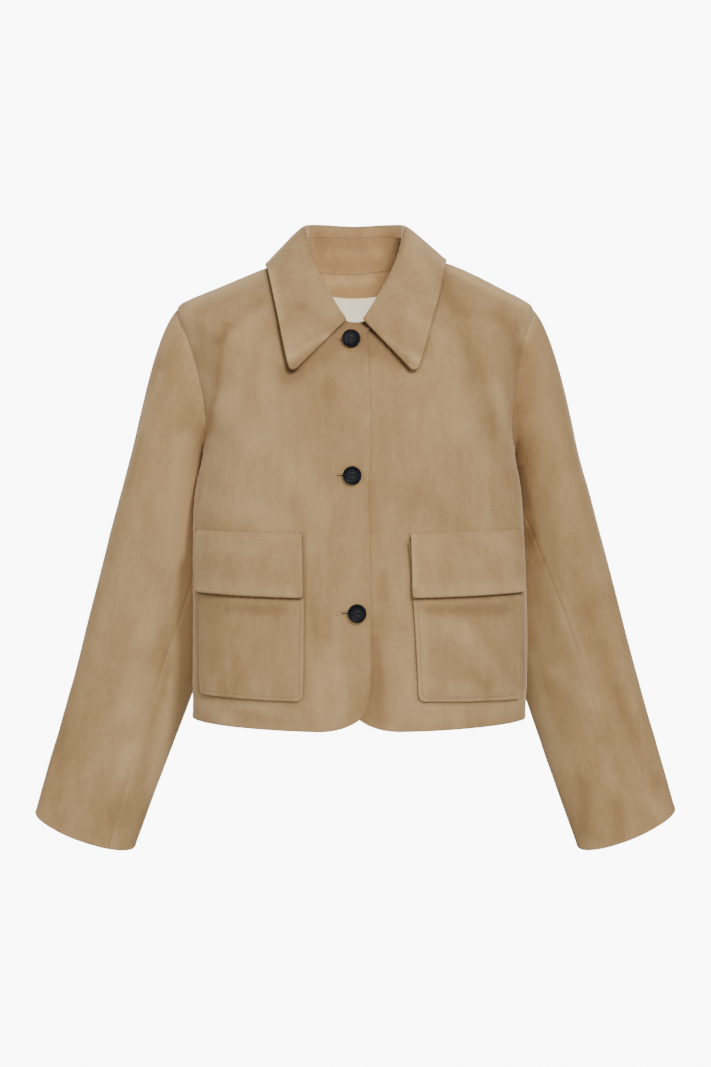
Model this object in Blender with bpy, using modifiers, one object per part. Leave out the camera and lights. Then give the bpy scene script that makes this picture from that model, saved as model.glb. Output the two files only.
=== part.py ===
"""Cropped suede jacket, filled out as it is worn, with every cut piece as its own closed wall.

The front faces -Y, +X is the wearer's left and +Z is up. The origin is the middle of the neck base, level
with the highest points of the shoulders. Sizes and tables are in millimetres, and MM turns them to metres.
"""

import math

import bmesh
import bpy
import numpy as np

MM = 0.001

# Thicknesses and gaps
SUEDE = 1.6  # one layer of suede
DOUBLE = 2.4  # two layers sewn together, in the collar and the flaps
LINING = 1.0
SEAM = 0.5  # gap between two pieces at a seam
LAYER = 0.5  # gap between two pieces that lie on each other
FOLD_FADE = 0.12  # share of a row next to the side line and the neck over which the folds fade
SLEEVE_GIRTH, SLEEVE_LENGTH = 320.0, 600.0  # about the way round a sleeve, and along it
SIDE_LENGTH = 607.0  # about the length of the line where front and back meet

# Front opening
FRONT_LAP = 12.0  # how far each front goes past the centre line
UNDER_LAP = 2.6  # how far the lower front lies under the upper one
UNDER_FADE = (18.0, 60.0)  # from the centre line, where the lower front comes back to the surface
NECK_DROP = 0.06  # how far the corner of the upper front drops at the neck, in levels
NECK_DROP_WIDE = 30.0  # and over how much of the neckline
NECK_DROP_TALL = 0.11  # and over how many levels it fades
CORNER_WIDE = 46.0  # rounded hem corner, along the hem
CORNER_HIGH = 12.0  # and how far it lifts the hem
CORNER_IN = 10.0  # and how far it draws the front edge back
CORNER_TALL = 62.0  # height over which it does so
CORNER_STOP = 0.97  # a rounded corner stops this close to upright

# Pockets and flaps: their ends along the cloth from the centre line, and the heights of their rows on the
# centre line, close together round the pockets' lower corners
POCKET_ENDS = {"left": (60.3, 199.5), "right": (60.8, 199.5)}
FLAP_ENDS = {"left": (56.5, 203.0), "right": (61.2, 200.5)}
POCKET_CORNER = 8.0
POCKET_TAPER = 3.0  # how much further in each side is at its lower edge
POCKET_DROOP = {"left": 6.0, "right": 0.0}  # how much lower the outer end of each pocket's floor hangs
POCKET_LIFT = 1.0  # gap between the front and the pocket's edges
POCKET_FULL = 2.6  # how far the middle of the pocket stands off the front
POCKET_FLATNESS = 0.7  # how evenly it does so
POCKET_PEAK = 0.75  # how much of a half turn its fullness makes over its height
FLAP_LIFT = 1.8  # how far the flap's free edge stands off the pocket
POCKET_ROWS = (-493.0, -492.2, -490.0, -486.0, -466.0, -438.0, -408.0, -378.0, -348.0, -318.0)
FLAP_ROWS = (-379.0, -358.0, -338.0, -318.0, -310.0)

# Buttons
BUTTON_WIDE, BUTTON_THICK, BUTTON_RIM = 20.4, 3.6, 1.9
BUTTON_HOLE, BUTTON_HOLES_APART = 1.9, 4.6
BUTTON_SHANK = 1.2
BUTTON_DISH, BUTTON_SLOPE = 1.0, 1.4  # depth of its hollow face, and the width of the slope down to it
BUTTON_EDGE, BUTTON_CURVE = 0.7, 0.9  # rounding of its edge, across and in height
BUTTON_FOOT = 1.2  # how much smaller its back is

# Inside of the back
FACING_SHARE = 0.985  # how far the facing reaches towards the shoulder seams
LINING_COLUMNS = 24  # how many of the back's columns the lining covers
LINING_GAP = 1.2  # how far the lining hangs inside the back


def table(names, *rows):
    """A short table of sections: the named columns, a row for each section."""
    return dict(zip(names.split(), np.array(rows, float).T))


# The line where front and back meet: up the side seam, across the armhole, then in along the shoulder seam.
# The fronts and the back are quarter rings between this line and the centre line, a row for each level.
SIDE_LINE = table(
    "level  end_x   end_y   end_z",
    (0.000, 188.5, -21.0, -518.0),
    (0.090, 189.5, -21.0, -462.0),
    (0.181, 189.5, -20.0, -404.0),
    (0.359, 187.5, -17.0, -297.0),
    (0.430, 183.5, -13.0, -255.0),
    (0.504, 175.5, -8.0, -212.0),
    (0.575, 181.5, -5.0, -170.0),
    (0.659, 193.0, 0.0, -120.0),
    (0.727, 205.0, 3.0, -80.0),
    (0.764, 211.0, 4.0, -55.5),
    (0.792, 199.0, 4.0, -42.5),
    (0.835, 172.0, 4.0, -31.5),
    (0.898, 136.0, 3.0, -15.5),
    (0.960, 100.0, 2.0, -1.0),
    (1.000, 77.0, 1.0, 6.0),
)
FRONT_LINE = table(
    "level  mid_y   mid_z  wide  deep",
    (0.000, -128.0, -525.0, 0.66, 62.0),
    (0.090, -131.0, -468.0, 0.66, 64.0),
    (0.181, -131.5, -411.0, 0.66, 64.0),
    (0.359, -129.0, -303.0, 0.66, 64.0),
    (0.504, -124.0, -222.0, 0.64, 62.0),
    (0.575, -120.0, -186.0, 0.64, 60.0),
    (0.659, -114.0, -152.0, 0.62, 55.0),
    (0.727, -107.5, -128.0, 0.60, 46.0),
    (0.764, -103.5, -116.0, 0.60, 40.0),
    (0.792, -100.0, -108.0, 0.60, 38.0),
    (0.835, -95.0, -97.0, 0.60, 38.0),
    (0.898, -89.5, -87.0, 0.58, 34.0),
    (0.960, -85.0, -80.0, 0.52, 28.0),
    (1.000, -82.5, -73.5, 0.46, 23.0),
)
BACK_LINE = table(
    "level  mid_y   mid_z  wide  deep",
    (0.000, 92.0, -522.0, 0.58, 58.0),
    (0.090, 94.0, -466.0, 0.58, 58.0),
    (0.181, 95.5, -409.0, 0.58, 58.0),
    (0.359, 98.0, -300.0, 0.58, 58.0),
    (0.504, 101.0, -214.0, 0.58, 56.0),
    (0.575, 101.0, -176.0, 0.60, 54.0),
    (0.659, 98.0, -138.0, 0.60, 48.0),
    (0.727, 93.5, -112.0, 0.60, 42.0),
    (0.764, 90.0, -99.0, 0.60, 36.0),
    (0.792, 87.0, -90.0, 0.60, 34.0),
    (0.835, 81.0, -75.0, 0.60, 32.0),
    (0.898, 71.0, -53.0, 0.60, 30.0),
    (0.960, 60.0, -33.0, 0.60, 26.0),
    (1.000, 48.0, -6.0, 0.60, 22.0),
)
# How much of each row the front and the back keep beside the armhole.
ARMHOLE = table(
    "level  front  back",
    (0.504, 1.000, 1.000),
    (0.512, 0.930, 0.925),
    (0.530, 0.872, 0.860),
    (0.565, 0.815, 0.790),
    (0.610, 0.790, 0.750),
    (0.660, 0.790, 0.745),
    (0.705, 0.815, 0.780),
    (0.740, 0.880, 0.860),
    (0.764, 1.000, 1.000),
)
# The body hangs a little to the wearer's left under the sleeves, and the wearer's left shoulder is the
# higher one: tilt is the rise for each millimetre across.
SWAY = table(
    "height across tilt",
    (-540.0, 3.4, 0.0),
    (-420.0, 5.2, 0.0),
    (-330.0, 3.8, 0.0),
    (-250.0, 3.2, 0.0),
    (-205.0, 4.4, 0.0),
    (-120.0, 2.4, 0.0),
    (-65.0, 0.0, 0.0),
    (-35.0, -0.6, 0.006),
    (-12.0, -1.0, 0.028),
    (8.0, -1.1, 0.032),
    (36.0, -1.2, 0.006),
    (60.0, -1.2, 0.0),
)

# Soft folds of the fronts and the back: from one place to another as seen from the front, how wide each is
# to either side, and how deep, above 0 for a trough and below 0 for a ridge.
FRONT_FOLDS = table(
    "from_x from_z to_x to_z wide deep",
    (-172.0, -78.0, -162.0, -196.0, 12.0, 2.2),
    (-146.0, -96.0, -160.0, -166.0, 14.0, -1.6),
    (-126.0, -96.0, -158.0, -150.0, 11.0, 1.5),
    (-10.0, -122.0, -4.0, -190.0, 13.0, 1.2),
    (124.0, -70.0, 158.0, -196.0, 15.0, 2.4),
    (96.0, -110.0, 118.0, -190.0, 20.0, -1.8),
    (176.0, -100.0, 182.0, -232.0, 10.0, 2.0),
    (22.0, -430.0, 30.0, -510.0, 11.0, 1.8),
    (-26.0, -440.0, -22.0, -512.0, 10.0, -1.4),
    (-84.0, -400.0, -132.0, -470.0, 16.0, 1.6),
    (92.0, -398.0, 166.0, -470.0, 16.0, -2.0),
    (84.0, -440.0, 140.0, -492.0, 12.0, 1.4),
)
BACK_FOLDS = table(
    "from_x from_z to_x to_z wide deep",
    (-150.0, -90.0, -128.0, -220.0, 16.0, 2.4),
    (146.0, -84.0, 132.0, -236.0, 15.0, 2.2),
    (-118.0, -130.0, -96.0, -250.0, 20.0, -1.8),
    (104.0, -120.0, 90.0, -230.0, 18.0, -1.6),
    (-60.0, -330.0, -74.0, -500.0, 18.0, 1.8),
    (38.0, -380.0, 30.0, -512.0, 14.0, 1.6),
    (112.0, -400.0, 122.0, -505.0, 15.0, -1.6),
)

# Sleeve rings from the upper arm to the cuff: the outer and inner ends of each, the depth of its middle, how
# far its inner end swings back, half its depth, how far its front drops, and how far its inner end goes to
# the wearer's left with the body.
SLEEVE = table(
    "along outer_x outer_z inner_x inner_z mid_y swing deep drop across",
    (0.22, 257.0, -222.0, 179.5, -243.0, 24.0, 20.0, 59.0, 2.0, 3.2),
    (0.40, 277.0, -296.0, 168.5, -322.0, 30.0, 26.0, 53.0, 4.0, 4.0),
    (0.58, 301.0, -382.0, 170.5, -422.0, 40.0, 22.0, 42.5, 5.0, 3.5),
    (0.74, 326.0, -474.0, 199.0, -511.0, 41.0, 12.0, 37.5, 7.0, 3.0),
    (0.88, 351.5, -562.0, 230.0, -598.0, 38.0, 6.0, 32.5, 9.0, 1.4),
    (1.00, 370.5, -632.0, 256.5, -672.0, 32.0, 2.0, 29.5, 11.0, 0.8),
)
# How the sleeve head leaves the armhole, going round it from the underarm by the front and the shoulder.
SLEEVE_HEAD = table(
    "round  out  back  down",
    (0.000, 30.0, 5.0, 4.0),
    (0.125, 48.0, -12.0, 12.0),
    (0.250, 66.0, -24.0, 38.0),
    (0.375, 80.0, -14.0, 60.0),
    (0.500, 82.0, 0.0, 68.0),
    (0.625, 82.0, 14.0, 62.0),
    (0.750, 66.0, 24.0, 38.0),
    (0.875, 50.0, 12.0, 12.0),
    (1.000, 30.0, 5.0, 4.0),
)
HEAD_OUT = {"left": 0.55, "right": 1.0}  # how much of that outward swell each head has at the shoulder
CUFF_LIFT = {"left": 4.0, "right": 0.0}  # how much higher the outer end of each cuff is
# Where the two seams of a sleeve run, from the armhole to the cuff: shares of the way round each ring from
# its inner end, by the front. The wearer's left sleeve is turned further out than the right one.
SLEEVE_SEAMS = {
    "left": table(
        "along forearm elbow",
        (0.00, 0.050, 0.800),
        (0.22, 0.090, 0.785),
        (0.40, 0.190, 0.770),
        (0.58, 0.258, 0.755),
        (0.80, 0.264, 0.750),
        (1.00, 0.255, 0.745),
    ),
    "right": table(
        "along forearm elbow",
        (0.00, 0.050, 0.780),
        (0.22, 0.070, 0.745),
        (0.40, 0.120, 0.720),
        (0.58, 0.178, 0.700),
        (0.80, 0.180, 0.690),
        (1.00, 0.163, 0.680),
    ),
}

# Soft folds of the sleeves: from one share of the way round and along to another, width and depth
SLEEVE_FOLDS = {
    "left": table(
        "from_round from_along to_round to_along wide deep",
        (0.28, 0.20, 0.12, 0.46, 13.0, 2.2),
        (0.36, 0.60, 0.40, 0.78, 14.0, -1.8),
        (0.20, 0.74, 0.34, 0.99, 12.0, 1.8),
        (0.62, 0.16, 0.56, 0.40, 16.0, 1.8),
        (0.86, 0.50, 0.72, 0.60, 12.0, 1.8),
        (0.84, 0.62, 0.70, 0.72, 12.0, 1.5),
    ),
    "right": table(
        "from_round from_along to_round to_along wide deep",
        (0.22, 0.08, 0.10, 0.30, 13.0, 1.8),
        (0.22, 0.62, 0.22, 0.98, 12.0, 1.8),
        (0.36, 0.48, 0.38, 0.72, 18.0, -1.6),
        (0.44, 0.84, 0.36, 0.99, 12.0, 1.6),
        (0.64, 0.14, 0.58, 0.38, 16.0, 1.8),
        (0.84, 0.48, 0.70, 0.60, 12.0, 1.8),
        (0.82, 0.64, 0.70, 0.72, 12.0, 1.5),
    ),
}

# Collar, from its front end to the centre back: share of the neckline, top of the roll, outer edge and how
# far both sides of the edge lean to the wearer's left, how far the roll stands over the seam of the stand,
# and out over it.
COLLAR = table(
    "along  top_x  top_y   top_z  edge_x edge_y  edge_z  lean  roll  fold",
    (0.040, 11.5, -87.5, -73.0, 69.0, -112.5, -134.8, -2.4, 4.0, 4.0),
    (0.140, 23.5, -75.5, -50.5, 76.0, -103.0, -110.0, -1.5, 6.0, 4.0),
    (0.320, 41.0, -50.0, -17.0, 85.5, -79.5, -71.0, -0.2, 9.0, 4.5),
    (0.490, 52.5, -25.0, 15.5, 96.0, -42.5, -27.5, 1.0, 11.0, 4.5),
    (0.620, 56.5, -5.0, 37.0, 103.0, -1.0, 4.0, 0.8, 12.0, 4.5),
    (0.700, 56.5, 10.0, 43.8, 102.5, 27.0, 3.5, 0.5, 13.0, 4.5),
    (0.855, 32.0, 37.0, 47.8, 62.0, 68.0, -8.0, 0.0, 13.0, 4.5),
    (1.000, 0.0, 45.0, 47.2, 0.0, 76.0, -12.0, 0.0, 13.0, 4.5),
)
STAND_BULGE = 0.04  # how far the stand leans in at its middle, as a share of its height
STAND_REACH = 0.97  # the stand ends a little behind the points' front edges
COLLAR_ACROSS = -0.9  # how far the collar's roll sits to the wearer's left, so a little to the right
COLLAR_TILT = 0.6  # how much of the shoulders' tilt the collar takes
COLLAR_CORNER = 12.0  # rounding of its points
ROLL_SHARE = 0.22  # how much of the fall is inside its roll
ROLL_UP, ROLL_IN, ROLL_OUT = 0.5, 0.8, 1.2  # how high and how far in and out the roll's curve is drawn
FALL_SWELL = 0.35  # how far down its outer face the roll's swell reaches
COLLAR_ENDS = ((0.0, -1.0), (0.1, -0.965), (0.9, 0.965), (1.0, 1.0))  # finer columns near the points

# Places of the buttons: across from the centre line, and height
BUTTONS = table("across height", (-5.9, -95.5), (-6.9, -246.0), (-3.2, -396.0))

# Levels of the rows of the panels: even ones below the armhole, the armhole's own, and even ones above it
NECK_LEVEL = 0.9992
ARMHOLE_LOW, ARMHOLE_HIGH = ARMHOLE["level"][0], ARMHOLE["level"][-1]
UPPER_LEVELS = np.concatenate([ARMHOLE["level"][1:-1], np.linspace(ARMHOLE_HIGH, NECK_LEVEL, 7)])
FRONT_LEVELS = np.concatenate([np.linspace(0.0, ARMHOLE_LOW, 9), UPPER_LEVELS])
BACK_LEVELS = np.concatenate([np.linspace(0.0, ARMHOLE_LOW, 8), UPPER_LEVELS])
FRONT_COLUMNS, BACK_COLUMNS = 18, 28
TOPSLEEVE_COLUMNS, UNDERSLEEVE_COLUMNS, SLEEVE_ROWS = 12, 11, 20
STAND_COLUMNS, STAND_ROWS = 30, 3
FALL_COLUMNS, FALL_ROWS = 40, 10
FACING_ROWS = 2
POCKET_COLUMNS = 10
LINING_FIRST_ROW, FACING_FIRST_ROW = 11, 20  # rows of the back where the lining and the facing start

SUEDE_TAN = (0.402, 0.279, 0.159, 1.0)
LINING_CREAM = (0.64, 0.60, 0.52, 1.0)
BUTTON_NAVY = (0.012, 0.013, 0.02, 1.0)


def spline(knots, values):
    """The natural cubic curve through a column of a table."""
    last = len(knots) - 1
    step = np.diff(knots)
    slope = np.diff(values) / step
    system = np.eye(last + 1)
    right = np.zeros(last + 1)
    for i in range(1, last):
        system[i, i - 1 : i + 2] = step[i - 1], 2 * (step[i - 1] + step[i]), step[i]
        right[i] = 6 * (slope[i] - slope[i - 1])
    bend = np.linalg.solve(system, right)

    def at(place):
        i = np.clip(np.searchsorted(knots, place) - 1, 0, last - 1)
        after, before = place - knots[i], knots[i + 1] - place
        ends = (bend[i] * before**3 + bend[i + 1] * after**3) / (6 * step[i])
        low = (values[i] / step[i] - bend[i] * step[i] / 6) * before
        high = (values[i + 1] / step[i] - bend[i + 1] * step[i] / 6) * after
        return ends + low + high

    return at


def curves(rows):
    """The columns of a table as curves over its first column."""
    names = list(rows)
    return {name: spline(rows[names[0]], rows[name]) for name in names[1:]}


def ease(share):
    share = np.clip(share, 0.0, 1.0)
    return share * share * (3 - 2 * share)


def bezier(t, first, second, third, fourth):
    t = np.asarray(t)[..., None]
    return (
        first * (1 - t) ** 3
        + 3 * second * t * (1 - t) ** 2
        + 3 * third * t * t * (1 - t)
        + fourth * t**3
    )


def points(x, y, z):
    return np.stack(np.broadcast_arrays(x, y, z), axis=-1).astype(float)


def unit(vectors):
    return vectors / np.linalg.norm(vectors, axis=-1, keepdims=True)


side_line = curves(SIDE_LINE)
front_line = curves(FRONT_LINE)
back_line = curves(BACK_LINE)
armhole_keep = curves(ARMHOLE)
sway = curves(SWAY)
sleeve_ring = curves(SLEEVE)
sleeve_head = curves(SLEEVE_HEAD)
sleeve_seams = {side: curves(rows) for side, rows in SLEEVE_SEAMS.items()}
collar_line = curves(COLLAR)


def fold_depth(folds, across, up):
    """How far the folds press a place in: a soft trough or ridge along each fold's line."""
    depth = np.zeros(np.shape(across))
    for x0, z0, x1, z1, wide, deep in zip(*folds.values()):
        run = (x1 - x0) ** 2 + (z1 - z0) ** 2
        share = np.clip(((across - x0) * (x1 - x0) + (up - z0) * (z1 - z0)) / run, 0.0, 1.0)
        off_line = (across - x0 - share * (x1 - x0)) ** 2 + (up - z0 - share * (z1 - z0)) ** 2
        depth += deep * np.exp(-off_line / wide**2)
    return depth


def swayed(place):
    """The place moved across and tilted with the hang of the body."""
    moved = place.copy()
    height = np.clip(place[..., 2], SWAY["height"][0], SWAY["height"][-1])
    moved[..., 0] += sway["across"](height)
    moved[..., 2] += sway["tilt"](height) * place[..., 0]
    return moved


def torso_bare(line, along, level):
    """A place on the torso: along runs from 0 at the centre line to 1 at the side line, on either side."""
    level = np.clip(level, 0.0, 1.0)
    end_x, end_y, end_z = (side_line[name](level) for name in ("end_x", "end_y", "end_z"))
    mid_y, mid_z = line["mid_y"](level), line["mid_z"](level)
    turn = np.sign(mid_y) * line["deep"](level)
    place = bezier(
        np.abs(along),
        points(0.0, mid_y, mid_z),
        points(line["wide"](level) * end_x, mid_y, mid_z),
        points(end_x, end_y + turn, end_z),
        points(end_x, end_y, end_z),
    )
    place[..., 0] *= np.where(np.asarray(along) < 0, -1.0, 1.0)
    return place


def torso(line, along, level, off=0.0):
    """A place on the torso, moved off it along its normal, outwards where off is above 0."""
    step = 0.002
    here = torso_bare(line, along, level)
    inner, outer = np.abs(along) - step, np.abs(along) + step
    round_it = torso_bare(line, np.maximum(outer, 2 * step), level)
    round_it -= torso_bare(line, np.maximum(inner, 0.0), level)
    up_it = torso_bare(line, np.abs(along), np.minimum(level + step, 1.0))
    up_it -= torso_bare(line, np.abs(along), np.maximum(level - step, 0.0))
    facing = -np.sign(line["mid_y"](0.0))
    normal = facing * unit(np.cross(round_it, up_it))
    normal[..., 0] *= np.where(np.asarray(along) < 0, -1.0, 1.0)
    folds = FRONT_FOLDS if line is front_line else BACK_FOLDS
    seam_fade = ease((1.0 - np.abs(along)) / FOLD_FADE) * ease((1.0 - level) / FOLD_FADE)
    off = off - fold_depth(folds, here[..., 0], here[..., 2]) * seam_fade
    return swayed(here + normal * off[..., None])


def keep_at(panel, level):
    """The share of a row that the front or the back keeps at a level."""
    inside = (level > ARMHOLE_LOW) & (level < ARMHOLE_HIGH)
    return np.where(inside, np.minimum(armhole_keep[panel](level), 1.0), 1.0)


def row_length(line, level):
    """The length of the cloth from the centre line to the side line, for each share of the row."""
    shares = np.linspace(0.0, 1.0, 65)
    row = torso_bare(line, shares, np.full(shares.shape, level))
    steps = np.linalg.norm(np.diff(row, axis=0), axis=1)
    return shares, np.concatenate([[0.0], np.cumsum(steps)])


def share_at(line, reach, level):
    """The share of a row at a distance along the cloth from the centre line."""
    reach, level = np.broadcast_arrays(np.asarray(reach, float), level)
    found = np.empty(reach.shape)
    for i in np.ndindex(reach.shape):
        shares, lengths = row_length(line, level[i])
        found[i] = np.sign(reach[i]) * np.interp(abs(reach[i]), lengths, shares)
    return found


def level_at(line, height):
    """The level at which a height is reached on the centre line."""
    levels = np.linspace(0.0, 1.0, 401)
    return np.interp(height, line["mid_z"](levels), levels)


def clear_folder():
    for thing in list(bpy.data.objects):
        bpy.data.objects.remove(thing)
    for folder in list(bpy.data.collections):
        bpy.data.collections.remove(folder)


def new_folder(name):
    folder = bpy.data.collections.new(name)
    bpy.context.scene.collection.children.link(folder)
    return folder


def finish(name, colour, roughness, metallic=0.0):
    material = bpy.data.materials.new(name)
    material.use_nodes = True
    shader = material.node_tree.nodes["Principled BSDF"]
    shader.inputs["Base Color"].default_value = colour
    shader.inputs["Roughness"].default_value = roughness
    shader.inputs["Metallic"].default_value = metallic
    material.diffuse_color = colour
    return material


def keep(folder, name, mesh, colour, roughness):
    """Put a finished mesh in the jacket's folder, with a material of its own."""
    thing = bpy.data.objects.new(name, mesh)
    folder.objects.link(thing)
    mesh.materials.append(finish(name, colour, roughness))
    mesh.shade_smooth()
    mesh.set_sharp_from_angle(angle=math.radians(50))
    return thing


def cloth(folder, name, wall, columns, rows, colour=SUEDE_TAN, roughness=0.9):
    """A cut piece of cloth as a closed wall: a grid shaped by wall(across, up, face), where face is 0 on
    the outer face and 1 on the inner one, all shares of the piece."""
    shape = bmesh.new()
    bmesh.ops.create_grid(shape, x_segments=columns, y_segments=rows, size=0.5)
    grown = bmesh.ops.extrude_face_region(shape, geom=list(shape.faces), use_keep_orig=True)
    inner = {point for point in grown["geom"] if isinstance(point, bmesh.types.BMVert)}
    corners = list(shape.verts)
    across = np.array([point.co.x + 0.5 for point in corners])
    up = np.array([point.co.y + 0.5 for point in corners])
    face = np.array([1.0 if point in inner else 0.0 for point in corners])
    for point, place in zip(corners, wall(across, up, face) * MM):
        point.co = place
    bmesh.ops.recalc_face_normals(shape, faces=list(shape.faces))
    mesh = bpy.data.meshes.new(name)
    shape.to_mesh(mesh)
    shape.free()
    return keep(folder, name, mesh, colour, roughness)


def front_edge(level):
    """How far a front goes past the centre line: drawn back at the rounded hem corner."""
    tall = level_at(front_line, FRONT_LINE["mid_z"][0] + CORNER_TALL)
    near = np.clip(1 - level / tall, 0.0, 1.0)
    return FRONT_LAP - CORNER_IN * (1 - np.sqrt(1 - near**2))


def corner_lift(from_edge):
    """How far the rounded corner lifts the hem, at a distance from the front edge."""
    near = np.clip(1 - from_edge / CORNER_WIDE, 0.0, 1.0)
    return CORNER_HIGH * (1 - np.sqrt(1 - CORNER_STOP * near**2))


def front_wall(side, under):
    """The wall of a front. side is 1 for the wearer's left and -1 for the right."""

    def wall(across, up, face):
        level = row_levels(up, FRONT_LEVELS)
        edge = front_edge(level)
        length = np.array([row_length(front_line, one)[1][-1] for one in level])
        end = keep_at("front", level) - SEAM / 2 / length
        start = -share_at(front_line, edge, level)
        along = start + (end - start) * across
        reach = along * length
        tall = level_at(front_line, FRONT_LINE["mid_z"][0] + CORNER_TALL)
        rise = corner_lift(reach + edge) / CORNER_TALL * tall
        level = level + rise * np.clip(1 - level / tall, 0.0, 1.0)
        off = -SUEDE * face
        if under:
            fade = (reach - UNDER_FADE[0]) / (UNDER_FADE[1] - UNDER_FADE[0])
            off = off - UNDER_LAP * (1 - ease(fade))
        else:
            near = np.clip(1 - (reach + edge) / NECK_DROP_WIDE, 0.0, 1.0)
            high = np.clip(1 - (1 - level) / NECK_DROP_TALL, 0.0, 1.0)
            level = level - NECK_DROP * near**1.5 * high
        return torso(front_line, side * along, level, off)

    return wall


def row_levels(up, levels):
    """The levels at shares of the way up a panel, where its rows fall on the listed levels."""
    return np.interp(up, np.linspace(0.0, 1.0, len(levels)), levels)


def back_wall(across, up, face):
    level = row_levels(up, BACK_LEVELS)
    length = np.array([row_length(back_line, one)[1][-1] for one in level])
    end = keep_at("back", level) - SEAM / 2 / length
    return torso(back_line, (2 * across - 1) * end, level, -SUEDE * face)


def inner_wall(first_row, last_row, keep_share, depth, thick, trim=0.0):
    """The wall of a piece on the inside of the back, between two of the back's rows, less a trim in levels
    at its upper edge."""

    def wall(across, up, face):
        row = first_row + (last_row - first_row) * up
        level = row_levels(row / (len(BACK_LEVELS) - 1), BACK_LEVELS) - trim * (up > 1 - 1e-6)
        end = keep_at("back", level) * keep_share
        return torso(back_line, (2 * across - 1) * end, level, -(depth + thick * face))

    return wall


def armhole_point(side, around):
    """A place on the armhole: around runs from 0 at the underarm, by the front, to 0.5 at the shoulder
    and by the back to 1."""
    place = np.empty(np.shape(around) + (3,))
    for panel, line, first in (("front", front_line, True), ("back", back_line, False)):
        level = ARMHOLE["level"]
        edge = torso(line, side * keep_at(panel, level), level, np.zeros(level.shape))
        steps = np.linalg.norm(np.diff(edge, axis=0), axis=1)
        share = np.concatenate([[0.0], np.cumsum(steps)]) / steps.sum()
        mine = (around <= 0.5) if first else (around > 0.5)
        goal = 2 * around[mine] if first else 2 * (1 - around[mine])
        for axis in range(3):
            place[mine, axis] = np.interp(goal, share, edge[:, axis])
    return place


def sleeve_tube(side, around, along):
    """A place on the sleeve under its head: around starts at the inner end of the ring, by the front."""
    ring = {name: sleeve_ring[name](along) for name in sleeve_ring}
    lift = CUFF_LIFT["left" if side > 0 else "right"] * np.clip(along, 0.0, 1.0) ** 8
    outer = points(ring["outer_x"], ring["mid_y"] - ring["swing"], ring["outer_z"] + lift)
    inner = points(ring["inner_x"], ring["mid_y"] + ring["swing"], ring["inner_z"])
    turn = 2 * np.pi * around
    place = (outer + inner) / 2 - (outer - inner) / 2 * np.cos(turn)[..., None]
    ahead = np.sin(turn)
    place += points(0.0, -ring["deep"] * ahead, -ring["drop"] * ahead)
    place[..., 0] *= side
    place[..., 0] += ring["across"] * (0.5 + 0.5 * np.cos(turn))
    return place


def sleeve_bare(side, around, along):
    """A place on the whole sleeve: the head bends from the armhole into the tube."""
    start = SLEEVE["along"][0]
    around = np.mod(around, 1.0)
    lower = sleeve_tube(side, around, np.maximum(along, start))
    share = np.clip(along / start, 0.0, 1.0)[..., None]
    leave = points(*(sleeve_head[name](around) for name in ("out", "back", "down")))
    leave *= np.array([side, 1.0, -1.0])
    first = armhole_point(side, around) + unit(leave) * SEAM
    swell = HEAD_OUT["left" if side > 0 else "right"]
    leave[..., 0] *= 1 - (1 - swell) * np.sin(np.pi * around) ** 2
    last = sleeve_tube(side, around, np.full(np.shape(along), start))
    step = 0.01
    arrive = sleeve_tube(side, around, np.full(np.shape(along), start + step)) - last
    arrive *= start / step
    head = (
        first * (2 * share**3 - 3 * share**2 + 1)
        + leave * (share**3 - 2 * share**2 + share)
        + last * (3 * share**2 - 2 * share**3)
        + arrive * (share**3 - share**2)
    )
    return np.where((along < start)[..., None], head, lower)


def sleeve(side, around, along, off=0.0):
    """A place on the sleeve, moved off it along its normal."""
    step = 0.004
    here = sleeve_bare(side, around, along)
    round_it = sleeve_bare(side, around + step, along) - sleeve_bare(side, around - step, along)
    down_it = sleeve_bare(side, around, np.minimum(along + step, 1.0))
    down_it -= sleeve_bare(side, around, np.maximum(along - step, 0.0))
    normal = side * unit(np.cross(down_it, round_it))
    folds = dict(SLEEVE_FOLDS["left" if side > 0 else "right"])
    for column, size in (("round", SLEEVE_GIRTH), ("along", SLEEVE_LENGTH)):
        for end in ("from_", "to_"):
            folds[end + column] = folds[end + column] * size
    off = off - fold_depth(folds, np.mod(around, 1.0) * SLEEVE_GIRTH, along * SLEEVE_LENGTH)
    return here + normal * off[..., None]


def sleeve_wall(name, piece):
    """The wall of a sleeve's top piece, over the outside of the arm, or of its under piece."""
    side = {"left": 1, "right": -1}[name]
    seams = sleeve_seams[name]

    def wall(across, up, face):
        along = 1 - up
        forearm, elbow = seams["forearm"](along), seams["elbow"](along)
        first, last = (forearm, elbow) if piece == "top" else (elbow, forearm + 1.0)
        gap = SEAM / 2 / SLEEVE_GIRTH
        around = first + gap + (last - first - 2 * gap) * across
        return sleeve(side, around, along, -SUEDE * face)

    return wall


def neckline(share):
    """A place on the neckline: 0 at the centre front, 1 at the centre back, on the wearer's left."""
    steps = np.linspace(0.0, 1.0, 101)
    ones = np.ones(steps.shape)
    front = torso_bare(front_line, steps, ones)
    back = torso_bare(back_line, steps[::-1], ones)
    whole = np.concatenate([front, back[1:]])
    lengths = np.linalg.norm(np.diff(whole, axis=0), axis=1)
    at = np.concatenate([[0.0], np.cumsum(lengths)]) / lengths.sum()
    return np.stack([np.interp(share, at, whole[:, axis]) for axis in range(3)], axis=-1)


def collar_end():
    """The sharp corner that the front end of the outer edge is rounded from."""
    return np.array([COLLAR[name][0] for name in ("edge_x", "edge_y", "edge_z")])


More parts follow.
